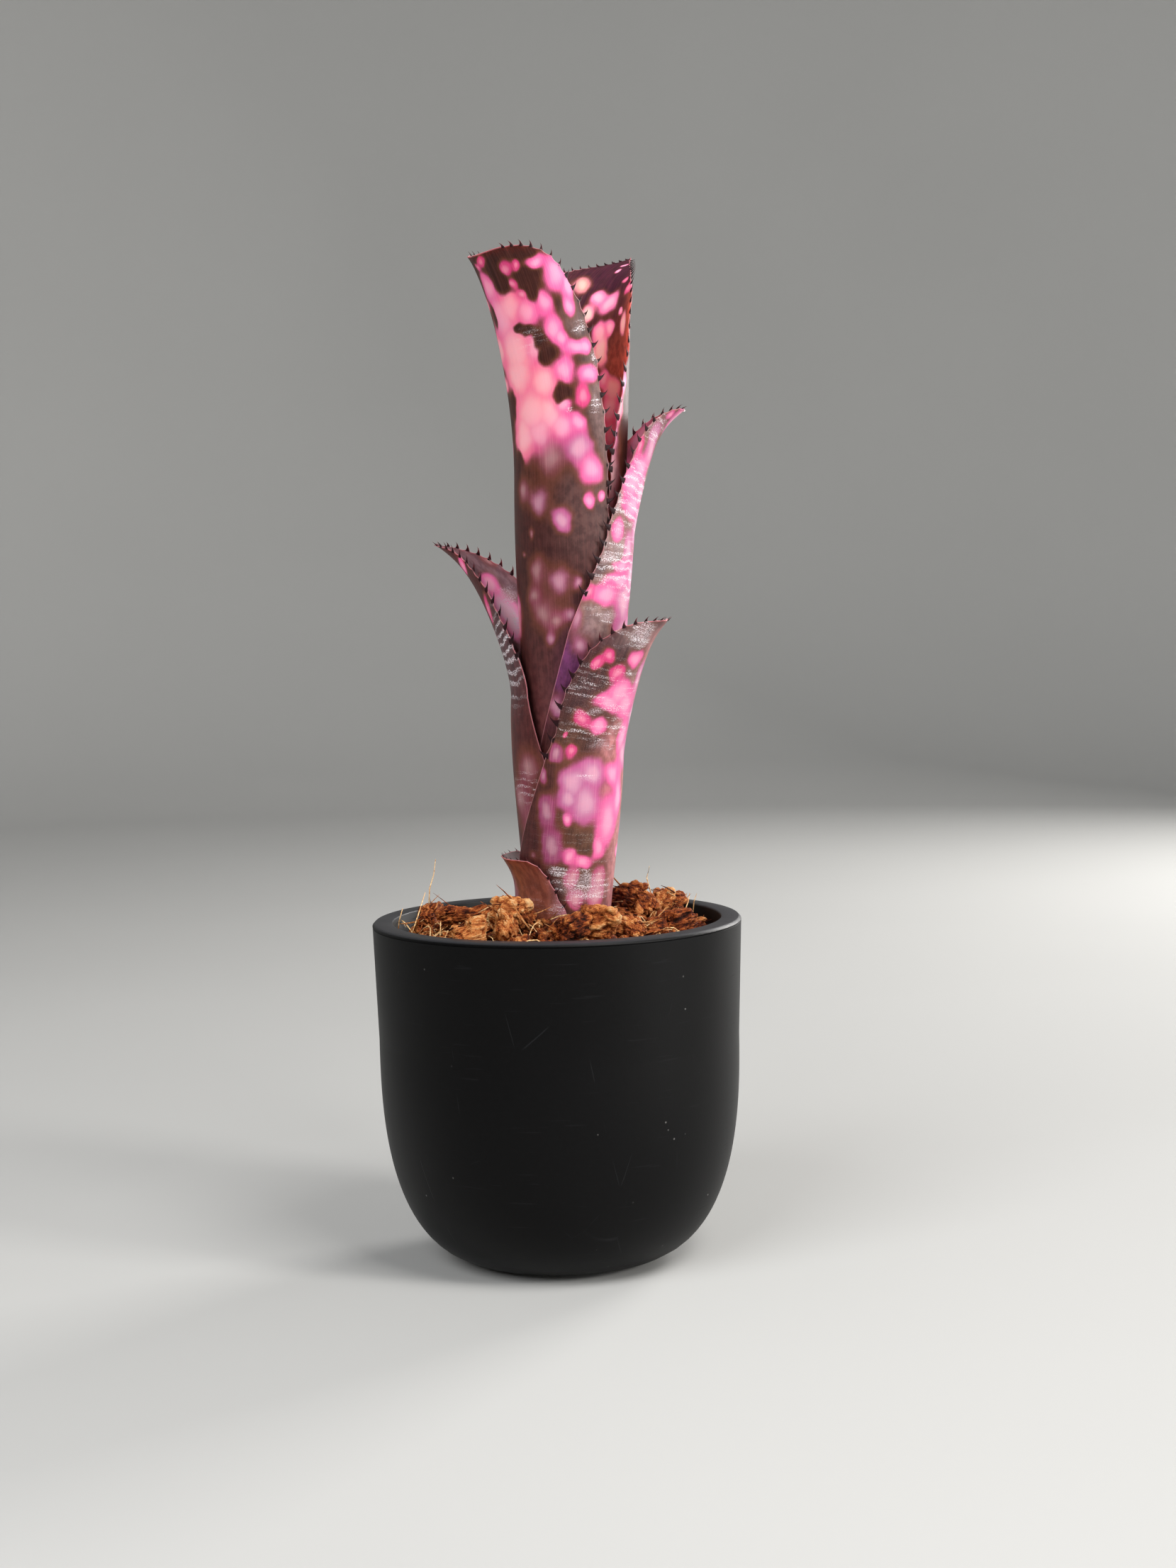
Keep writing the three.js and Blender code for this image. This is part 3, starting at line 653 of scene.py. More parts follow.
LEAVES["tall_back_leaf"] = {
    "shape": (87, -18, 173, 6.25, 13.5, 129, -0.1, 147, 26.7, 2.7, -0.9, 27.8, 32.7, 117, 2.8, 0.93, -0.28,
              0.13, 100),
    "rows": 300, "columns": 108, "glow": (1.2, 1.75, 1.3), "seen": (-36, 7, 100), "scatter": 100,
    "tints": (PINK, PEACH, HOT, MAUVE), "skin": CHOCOLATE,
    "blotches": [
        (4, 162.5, 2.2, 2.2, CREAM), (-6.5, 157, 3.5, 2.5, PINK), (-2.5, 159.3, 2.3, 2, PINK),
        (-0.5, 155, 1.8, 2.3, PEACH), (-14.5, 151.3, 2, 2.3, PEACH), (-8.3, 151.4, 1.7, 1.7, PINK),
        (-5, 150, 2, 3, PINK), (-6.3, 146, 2.5, 4.3, PEACH), (-11.9, 154, 0.9, 0.9, PINK),
        (-7.3, 138.5, 1.8, 2.3, PINK), (-11, 136, 3.2, 3.5, PEACH), (-10, 131, 3, 4, BLUSH),
        (-10, 124, 2.4, 4, BLUSH), (-10, 161.5, 1.2, 0.7, HOT), (-14.5, 158, 2, 1.5, HOT),
        (-3, 167, 0.8, 0.8, PINK), (-3, 169.5, 0.8, 0.5, PINK), (-27, 137, 1.6, 4, PINK),
        (-29, 130, 1.6, 4, PEACH), (-4, 132, 2, 3, PINK), (-5, 125, 2.4, 3, PINK), (-33, 124, 3, 12, PALE),
        (-30, 111, 3, 8, PINK_IN_SHADE), (-27.5, 147, 1.2, 4, HOT), (-24, 153, 1.2, 3, PINK), (-14, 128, 2.2, 4, BLUSH),
        (-15, 120, 3, 4, BLUSH),
    ],
    "scurf": [(0, 60, 60, 60, 0.3), (16, 145, 9, 22, 0.6), (20, 108, 12, 24, 0.6)],
    "washes": [
        (0, 60, 60, 62, PLUM, 0.9), (-4, 164, 16, 14, WINE, 0.9), (-22, 142, 7, 30, RED_GLOW, 1),
        (-12, 128, 9, 20, RED_GLOW, 0.8),
    ],
}
LEAVES["tall_front_leaf"] = {
    "shape": (208, 0, 165.8, 7.5, 15.1, 116, -0.1, 111, 11.9, 1.8, 2.1, 27.8, 25, 142, 4.9, 0.35, -0.14,
              -0.14, 92),
    "rows": 370, "columns": 116, "seen": (-3, 30, 45), "scatter": 70, "tints": (PINK, PEACH, MAUVE, PINK_IN_SHADE),
    "skin": CHOCOLATE,
    "blotches": [
        (1.9, 164.3, 1.8, 1, HOT), (-0.6, 163.3, 1.2, 0.8, HOT), (0, 158.3, 3.2, 4, PINK),
        (8.25, 161.3, 1.7, 1.8, HOT), (11, 160.8, 1, 1, HOT), (8.75, 157.8, 1.3, 1.3, HOT),
        (9.9, 155.2, 1.2, 1.2, HOT), (1.5, 151, 5, 6, PINK), (5.5, 153, 4, 4, PEACH),
        (10.2, 150.8, 2.8, 3.5, PINK), (4, 143, 6.5, 7, PEACH), (10.2, 142.8, 2.5, 3.5, PINK),
        (3, 137, 5.5, 6, PEACH), (10.5, 134.8, 3.7, 4.5, PEACH), (6, 128, 6, 6, PEACH),
        (2.5, 122, 4.5, 6, PEACH), (11, 127, 3.5, 5, PEACH), (8, 122.5, 4, 4, PINK),
        (15.75, 160.3, 2.6, 1.2, PINK), (19.5, 156.8, 3, 3.5, PINK), (22, 153.5, 1.6, 3, PINK),
        (14.9, 151.8, 2.2, 2.8, PINK), (15.75, 146, 2.3, 3, PINK), (17.2, 143.5, 1.8, 2, PINK),
        (20.75, 149.8, 1.7, 2.2, PINK), (20.5, 141, 3.8, 1.8, PINK), (23, 141, 1.5, 1.5, PINK),
        (16.5, 136.6, 2.5, 3.2, PINK), (22.5, 134.8, 2.8, 2.3, PINK), (19.9, 130.3, 2.1, 2.6, HOT),
        (15.25, 128.5, 1.8, 1.8, PINK), (14, 123.8, 3.2, 3.6, PINK), (18.3, 124.2, 2.4, 2.4, PINK),
        (18, 118.5, 3.6, 3.6, LAVENDER), (21, 113.5, 3.5, 3.5, PINK), (10.7, 116.5, 3.2, 3.8, PINK_IN_SHADE),
        (20.5, 106.2, 1.6, 2.2, PINK), (23.8, 107, 1, 1.5, PINK), (7.25, 105.7, 2.3, 2.8, MAUVE),
        (1.6, 108.5, 2, 2.5, PINK_IN_SHADE), (13.5, 101.2, 2.6, 3.3, LAVENDER), (4.8, 97.7, 0.6, 1, PINK_IN_SHADE),
        (1.5, 92.7, 0.5, 0.5, PINK_IN_SHADE), (6, 88.8, 2, 2.8, PINK_IN_SHADE), (12.25, 86, 2.2, 3, MAUVE),
        (16.8, 85.3, 0.9, 1.4, MAUVE), (4.75, 82.5, 1.5, 2, PINK_IN_SHADE), (7.25, 78, 2.8, 3.2, PINK_IN_SHADE),
        (11, 76, 2, 1.5, PINK_IN_SHADE), (14.3, 77.5, 1.2, 1.5, MAUVE), (8.9, 71.6, 0.9, 1.6, MAUVE),
    ],
    "gaps": [
        (5.5, 158.5, 3.2, 3.2), (6.3, 148, 2.2, 1.4), (9, 146.8, 2.4, 1.5), (11.3, 144, 2.2, 2.8),
        (12.4, 140.3, 2.2, 2.8), (14.8, 131, 2.2, 2.6), (-1, 130, 1.5, 3.4), (-2, 152, 1.4, 3.4),
        (0.3, 116.5, 1.6, 2.6), (13, 155.5, 2, 3),
    ],
    "scurf": [
        (8, 88, 40, 26, 0.12), (9, 145, 7, 5, 0.5), (23, 128, 2, 3, 0.9), (22, 145, 2.5, 2, 0.8),
        (24.5, 137, 1.5, 3, 0.8), (16.5, 127.5, 1.5, 1.5, 0.7),
    ],
    "washes": [
        # The ash washes along the right margin are partly grey scale and partly painted sheen.
        (8, 82, 40, 38, PLUM, 1), (8, 22, 40, 44, DUSTY, 0.9), (25, 130, 4, 16, ASH_GREY_AND_SHEEN, 0.55),
        (20, 104, 9, 14, ASH_GREY_AND_SHEEN, 0.2), (21, 147, 4, 4, ASH_GREY_AND_SHEEN, 0.35), (18, 50, 8, 24, PURPLE, 0.6),
        (-6, 60, 8, 70, CHOCOLATE, 0.6),
    ],
}
LEAVES["middle_right_leaf"] = {
    "shape": (21.6, -17, 130.2, 8.75, 16, 112, -0.3, 98, 7.1, 1.3, 5, 34, 24.2, 72, 1.3, 0.35, -0.11, -0.42,
              78),
    "rows": 270, "columns": 116, "seen": (-34, -5, 55), "scatter": 80, "tints": (PINK, LAVENDER, PALE, MAUVE),
    "skin": ROSE,
    "blotches": [
        (-18.25, 98.5, 2.5, 2.5, PINK), (-13, 94.5, 2.4, 4.5, LAVENDER), (-14, 110, 5, 4.5, PINK),
        (-7.5, 120, 3, 6, LAVENDER), (-12.8, 119, 1.2, 2.8, HOT), (-6.5, 127.6, 1.3, 0.8, PINK),
        (-13, 104.5, 5, 3.2, PINK), (-20, 82.5, 5, 3, PINK), (-12.5, 81, 4.5, 6, LAVENDER),
        (-11, 114.5, 4, 3, PINK), (-25, 82.5, 1.3, 2, HOT), (-24.5, 69, 1.8, 2.2, MAUVE),
        (-9, 88, 3, 5, LAVENDER), (-11, 74, 5, 4, LAVENDER), (-8, 100, 3, 5, LAVENDER),
        (-9, 109, 3, 4, LAVENDER), (-27, 76, 1.2, 3, MAUVE), (-16, 86.5, 5, 1.8, PINK),
        (-15.5, 90, 4, 1.6, PINK),
    ],
    "stripes": [
        (-11, 110, 8, 5, 1), (-17, 90, 9, 5, 1), (-14, 103, 7, 3.5, 1), (-22, 78, 5, 3, 0.3),
        (-9, 85, 5, 5, 0.8),
    ],
    "scurf": [
        (-18.5, 104, 2, 3, 1.2), (-20, 91.5, 4.5, 1.8, 1.4), (-12, 100, 20, 32, 0.5), (-18, 77, 4, 2.5, 1),
        (-9, 124, 6, 5, 0.9), (-17, 95, 5, 3, 0.9), (-21, 86.3, 4, 1, 1.1),
    ],
    "washes": [
        (-14, 102, 20, 30, ASH_GREY_AND_SHEEN, 0.9), (-22, 76.5, 6, 7.5, ASH_GREY_AND_SHEEN, 1), (-23, 88.5, 2, 2, SLATE, 0.8),
        (-28, 62, 7, 12, PURPLE, 1), (0, 40, 40, 28, PLUM, 0.7),
    ],
}
LEAVES["left_leaf"] = {
    "shape": (141, 5, 95.4, 10, 15.2, 55, 1, 57, 22.3, 1.4, 6.5, 26.7, 28.9, 27, 1, 0.6, 0.15, -0.8, 60),
    "rows": 200, "columns": 110, "glow": (1.2, 1.8, 1.5), "seen": (-16, 30, 12), "scatter": 30,
    "tints": (PINK, MAUVE, LAVENDER), "skin": ROSE,
    "blotches": [
        (6.5, 88, 2, 1.5, PINK), (11, 76, 1.5, 3, HOT), (15, 30, 3, 4, PINK_IN_SHADE), (-3, 84.5, 2.8, 2.6, PINK),
        (-3.6, 76.5, 4.2, 6.5, BLUSH), (-7.2, 88.6, 0.9, 0.9, PINK_IN_SHADE), (4, 80, 1.6, 3, PINK),
        (8, 69, 1.4, 3, PINK), (20, 38, 3, 4, PINK_IN_SHADE), (18, 22, 3, 5, PINK_IN_SHADE), (9, 48, 2.5, 4, PINK_IN_SHADE),
        (-8, 56, 2.8, 3.6, PINK), (-3, 61, 2, 2.6, LAVENDER), (-12.5, 47, 3, 4, PINK),
        (-9, 52, 2.4, 3, PEACH), (-4, 41, 2.4, 3, MAUVE), (-9.5, 34, 2.4, 3.4, PINK), (-1, 50, 1.8, 2.2, HOT),
        (-14, 27, 2.6, 4, LAVENDER), (-6, 22, 3, 4, PINK), (-2, 31, 2, 2.6, PINK),
    ],
    "stripes": [(14, 65, 8, 10, 1), (-6.5, 81, 3, 2.5, 0.8), (17, 33, 8, 5, 0.5)],
    "scurf": [(10, 60, 30, 26, 0.25), (-9, 42, 10, 16, 0.6), (-6.5, 81, 2.6, 2, 1.4), (-5, 74, 1.5, 6, 0.9)],
    "washes": [
        (-5, 83, 14, 15, SILVER, 0.5), (-5, 76, 4, 8, PALE, 0.9), (14, 66, 9, 12, SLATE, 0.9),
        (14, 84, 6, 8, PLUM, 0.7),
    ],
}
LEAVES["lower_right_leaf"] = {
    "shape": (324, 9, 77.1, 11.45, 14.2, 42, -0.4, 42, 9.4, 1.3, 3.5, 33.8, 9.1, 46, 3.9, 0.55, 0.64, -0.37,
              38),
    "rows": 210, "columns": 130, "seen": (-28, 5, 0), "scatter": 36, "tints": (PINK, LAVENDER, MAUVE),
    "skin": PLUM,
    "blotches": [
        (-10.5, 66.6, 1.7, 1.7, HOT), (-12.3, 64.2, 1.4, 1.7, HOT), (-6.7, 63.4, 2.2, 1.9, HOT),
        (-2.2, 67.2, 2.7, 2.4, PINK), (-3.4, 58.6, 4, 3.6, PINK), (-6.5, 56, 4.2, 2.2, PINK),
        (0, 55.5, 4, 4, PINK), (-12.2, 51.1, 2.4, 2.1, HOT), (-7, 49.7, 2.8, 2.2, PINK),
        (-12.8, 43.3, 1.6, 1.4, HOT), (-16.8, 42.6, 1.8, 2, ORCHID), (-14.8, 46.9, 0.6, 0.7, HOT),
        (-7, 38.6, 4, 4, LAVENDER), (-12, 36, 3.8, 4.4, LAVENDER), (-8.3, 30.5, 4.4, 5.5, LAVENDER),
        (-13.2, 31.5, 2.4, 3, LAVENDER), (0, 38, 3, 3.4, PINK), (-1, 26, 4, 7, PINK), (-3.5, 19, 2, 3, PINK),
        (-18.3, 28, 2.5, 4.6, ORCHID), (-12.6, 25.8, 1.2, 1.6, PINK), (-16, 18.8, 3, 5, ORCHID),
        (-11.2, 16.8, 1.8, 2.1, PINK), (-7.5, 15.5, 2.5, 1.8, PINK), (-10.4, 11.5, 1.9, 2.7, DUSK),
        (-2.3, 11.5, 2.6, 2.8, DUSK), (-8.8, 6, 2.5, 2.6, DUSK), (-3, 7, 2.7, 3.7, DUSK),
        (-21, 16, 0.8, 0.8, PINK_IN_SHADE), (-19.8, 37.5, 1, 2.4, ORCHID), (2.5, 47, 2.5, 5, PINK),
        (3, 62, 2, 5, LAVENDER), (3, 32, 2.5, 6, PINK),
    ],
    "stripes": [
        (-12, 58, 8, 4, 0.15), (0, 49.5, 5, 2.5, 0.5), (-12, 47.5, 5, 1, 0.8), (-5, 10, 7, 5, 0.3),
        (-8, 71, 6, 2, 0.5),
    ],
    "scurf": [
        (-5, 56, 30, 16, 0.55), (-5, 20, 30, 24, 0.35), (-4.5, 73, 4, 3, 1.5), (-2.5, 71.5, 3, 2, 1.2),
        (-2.8, 63.6, 1.6, 1.4, 1), (-9, 53.3, 3, 1.2, 1), (-5, 45.3, 6, 1.6, 0.9), (-0.5, 50, 4, 1.6, 1),
        (-6, 11.5, 2.6, 2.4, 1.3), (-13.5, 12.5, 3, 1.8, 1.1), (-5.4, 8.5, 1.6, 2, 1.2), (-6, 9, 10, 5, 1.1),
        (-8, 37, 4, 2, 0.8),
    ],
    "washes": [
        (-14, 58, 7, 18, WALNUT, 0.9), (-8, 70, 9, 4, SLATE, 0.7), (-9, 22, 12, 14, OLIVE, 0.9),
        (-20, 14, 8, 24, ROSE, 0.9), (-4, 73, 7, 4, ASH_GREY_AND_SHEEN, 0.8), (-1, 45, 5, 7, TAN, 0.9),
        (4, 40, 5.5, 50, TAN, 0.9), (-2.6, 33.6, 2.5, 2.5, TAN, 0.9), (-14, 45, 5, 6, OLIVE, 0.7),
        (-1.5, 63, 4, 3, ASH_GREY_AND_SHEEN, 0.7),
    ],
}
LEAVES["basal_leaf"] = {
    "shape": (191, -6, 15.8, 12.65, 13.1, 12, -0.1, 3, 5.3, 3.6, -1.7, 22, 13.7, 11, 3.3, 0.84, -0.06, 0.46,
              0),
    "rows": 60, "columns": 80, "seen": (0, 0, 0), "scatter": 0, "tints": (MAUVE,), "skin": RUST,
    "blotches": [],
    "scurf": [(17, 4, 5, 8, 0.6), (1, 4, 3, 8, 0.3), (10, 5, 8, 6, 0.4)],
    "washes": [
        (19, 5, 4, 10, MAUVE, 0.8), (-19, 5, 4, 10, MAUVE, 0.8), (0, 4, 3.5, 10, MAUVE, 0.7),
        (12, 6, 6, 10, DUSTY, 0.4), (0, 10, 40, 14, WINE, 0.9),
    ],
}


def eased(t):
    t = np.clip(t, 0, 1)
    return t * t * (3 - 2 * t)


def growth(leaf, z):
    """At a height: how far the leaf has grown out of its foot, how far it has bent, and its tube's radius."""
    grown = eased((z - LEAF_FOOT) / (leaf["grown"] - LEAF_FOOT))
    bent = np.maximum(0, (z - leaf["bend"]) / (leaf["tip"] - leaf["bend"]))
    return grown, bent, leaf["foot"] + (leaf["tube"] - leaf["foot"]) * grown


def midrib(leaf, z):
    """How far the midrib stands out from the plant's axis at a height."""
    _, bent, tube = growth(leaf, z)
    return tube + leaf["reach"] * bent ** leaf["rise"] + leaf["hook"] * bent ** 8


def half_width(leaf, z):
    up = (z - LEAF_FOOT) / (leaf["tip"] - LEAF_FOOT)
    taper = np.clip((z - leaf["taper"]) / (leaf["tip"] - leaf["taper"]), 0, 1)
    full = leaf["foot_half"] + (leaf["blade_half"] - leaf["foot_half"]) * up
    return full * (1 - taper ** leaf["fullness"]) ** leaf["blunt"] * (1 + leaf["swell"] * taper)


def leaf_points(leaf, z, side, depth, lift=0.0):
    """Points of the rolled blade in the part's frame. side is -1 to 1 across it, depth goes inwards,
    lift pushes the surface outwards."""
    grown, bent, tube = growth(leaf, z)
    roll = (tube - leaf["offset"] * grown) * (1 + leaf["channel"] * bent ** 2)
    angle = side * np.minimum(half_width(leaf, z) / roll, WRAP_LIMIT)
    slope = (midrib(leaf, z + 0.01) - midrib(leaf, z - 0.01)) / 0.02
    tilt = np.sqrt(1 + slope * slope)
    depth = depth - lift
    inwards = roll * (1 - np.cos(angle)) + depth * np.cos(angle)
    out = midrib(leaf, z) - inwards / tilt
    across = (roll - depth) * np.sin(angle)
    azimuth = np.radians(leaf["azimuth"] + leaf["turn"] * bent)
    x = out * np.cos(azimuth) - across * np.sin(azimuth)
    y = out * np.sin(azimuth) + across * np.cos(azimuth)
    height = z + slope / tilt * inwards
    c, s = math.cos(PLANT_LEAN), math.sin(PLANT_LEAN)
    return np.stack([x * c + height * s + PLANT_X, y, height * c - x * s + POT_HEIGHT], -1)


def covered(patch, across, height, power=1.0):
    """How strongly a soft oval patch covers each point, 1 at its middle."""
    away = ((across - patch[0]) / patch[2]) ** 2 + ((height - patch[1]) / patch[3]) ** 2
    return np.exp(-1.2 * away ** power)


def strongest(patches, across, height, power):
    """The strength of the strongest of these patches at each point."""
    found = np.zeros_like(across)
    for patch in patches:
        found = np.maximum(found, patch[4] * covered(patch, across, height, power))
    return found


def margin_thorns(leaf, side):
    """Where the thorns of one margin stand: height, root, direction along the margin, outwards, size."""
    part = np.arange(0, MARGIN_STEPS) / MARGIN_STEPS
    z = leaf["tip"] - (leaf["tip"] - leaf["spines"]) * (1 - part) ** 2
    roots = leaf_points(leaf, z, np.full(MARGIN_STEPS, float(side)), 0.15)
    inner = leaf_points(leaf, z, np.full(MARGIN_STEPS, side * 0.97), 0.15)
    scale = min(1, 0.35 + leaf["tip"] / 60)
    thorns = []
    walked = 0.0
    for i in range(1, int(0.93 * MARGIN_STEPS)):
        step = roots[i] - roots[i - 1]
        walked += np.linalg.norm(step)
        if walked >= THORN_SPACING_LOW + (THORN_SPACING_TIP - THORN_SPACING_LOW) * part[i] ** 2:
            walked = 0.0
            along = Vector(step).normalized()
            outwards = Vector(roots[i] - inner[i])
            outwards = (outwards - along * outwards.dot(along)).normalized()
            size = scale * (THORN_SCALE_LOW + (THORN_SCALE_TIP - THORN_SCALE_LOW) * part[i])
            thorns.append((z[i], Vector(roots[i]), along, outwards, size))
    return thorns


# One thorn, flat in its thickness, broad at the root and curved towards the tip of the leaf
thorn_bm = bmesh.new()
bmesh.ops.create_circle(thorn_bm, cap_ends=True, segments=7, radius=1)
bmesh.ops.scale(thorn_bm, vec=(0.92, 0.36, 1), verts=thorn_bm.verts[:])
bmesh.ops.translate(thorn_bm, vec=(-0.1, 0, -0.7), verts=thorn_bm.verts[:])
thorn_cap = thorn_bm.faces[:]
thorn_rings = [(0.7, 0.05, 0.72), (0.55, 0.16, 0.62), (0.6, 0.32, 0.6), (0.5, 0.42, 0.55), (0.3, 0.42, 0.2)]
for number, (rise, slant, shrink) in enumerate(thorn_rings):
    thorn_cap, rim = extruded(thorn_bm, thorn_cap, number == 0)
    bmesh.ops.translate(thorn_bm, vec=(slant, 0, rise), verts=rim)
    middle = sum((v.co for v in rim), Vector()) / len(rim)
    bmesh.ops.scale(thorn_bm, vec=(shrink,) * 3, space=Matrix.Translation(-middle), verts=rim)
bmesh.ops.recalc_face_normals(thorn_bm, faces=thorn_bm.faces[:])
thorn_layer = thorn_bm.verts.layers.float.new("thorn")
for vert in thorn_bm.verts:
    vert[thorn_layer] = 1.0
thorn_mesh = mesh_of("thorn", thorn_bm)

# The skin: pink over brown, lengthwise veins, silver scale in cross-bands, a pale edge, dark thorns.
# It is thin enough for light from behind to glow through it, and its inner face is duller.
skin = Finish("leaf_skin", IOR=1.45, Specular_IOR_Level=0.26, Subsurface_Weight=0.7,
              Subsurface_Scale=0.0013, Subsurface_Radius=(1.0, 0.5, 0.55))
blade = skin.add("ShaderNodeUVMap", {"uv_map": "blade"})
blotch_colour = skin.attribute("blotch_colour", 0)
ground_colour = skin.attribute("ground_colour", 0)
blotch, core, scurf, stripe, edge, thorn, inside = [
    skin.attribute(key) for key in ("blotch", "core", "scurf", "stripe", "edge", "thorn", "inside")
]
veins = skin.noise(blade, (330, 4, 1), 3, 0.6)
mottle = skin.noise(blade, (60, 40, 1), 3, 0.55)
speckle = skin.noise(blade, (520, 460, 1), 2, 0.7)
ragged = skin.noise(blade, (110, 90, 1), 3, 0.6)
drift = skin.noise(blade, (16, 12, 1), 3, 0.5)
bands = skin.noise(blade, (10, 100, 1), 4, 0.6)
grains = skin.noise(blade, (270, 300, 1), 3, 0.7)
blade_up = skin.add("ShaderNodeSeparateXYZ", {}, {"Vector": blade}, 1)
zebra = skin.add("ShaderNodeMath", {"operation": "SINE"}, {0: blade_up * 290.0 + drift * 14.0})
shaded = skin.mixed(1.0, ground_colour, (0.62, 0.58, 0.60, 1), "MULTIPLY")
ground = skin.mixed(skin.step(mottle, 0.36, 0.64), shaded, ground_colour)
ground = skin.mixed(skin.step(veins, 0.4, 0.75) * (0.14 + scurf * 0.1), ground, paint(146, 88, 82))
flecks = skin.step(speckle, 0.55, 0.7) * skin.step(scurf, 0.1, 0.6)
ground = skin.mixed(flecks * 0.35, ground, paint(176, 150, 132))
field = blotch + (ragged - 0.5) * 0.10 + (speckle - 0.5) * 0.05
ground = skin.mixed(skin.step(field, 0.04, 0.24) * 0.35, ground, paint(128, 72, 50))
deep = skin.mixed(1.0, blotch_colour, (0.92, 0.46, 0.74, 1), "MULTIPLY")
pinks = skin.mixed(skin.step(core, 0.2, 0.8), deep, blotch_colour)
pinks = skin.mixed(skin.step(core, 0.5, 1.0) * 0.2, pinks, paint(255, 214, 216))
pinks = skin.mixed(skin.step(veins, 0.45, 0.75) * 0.12, pinks, paint(255, 190, 190))
pinks = skin.mixed(skin.step(speckle, 0.56, 0.68) * 0.08, pinks, paint(170, 92, 110))
tinted = skin.mixed(skin.step(field, 0.18, 0.52), ground, pinks)
veil = skin.step(scurf, 0.4, 1.4) * (0.1 + skin.step(grains, 0.42, 0.6) * 0.7)
tinted = skin.mixed(veil, tinted, paint(214, 198, 204))
lines = skin.step(bands, 0.50, 0.58) * skin.step(scurf, 0.1, 0.9) * 0.8
lines = lines + stripe * skin.step(zebra, -0.2, 0.7) * skin.step(bands, 0.34, 0.5)
scale_here = lines * skin.step(grains, 0.44, 0.58)
tinted = skin.mixed(skin.step(scale_here, 0.0, 0.9) * 0.88, tinted, paint(232, 224, 228))
tinted = skin.mixed(skin.step(edge, 0.05, 0.015) * 0.45, tinted, paint(190, 120, 126))
tinted = skin.mixed(thorn, tinted, paint(34, 12, 16))
skin.gives(Base_Color=tinted, Roughness=0.42 + scale_here * 0.3 + mottle * 0.10 + thorn * 0.1 + inside * 0.22)
skin.bump(veins * 0.5 + scale_here * 0.5 + mottle * 0.3, 0.00010)

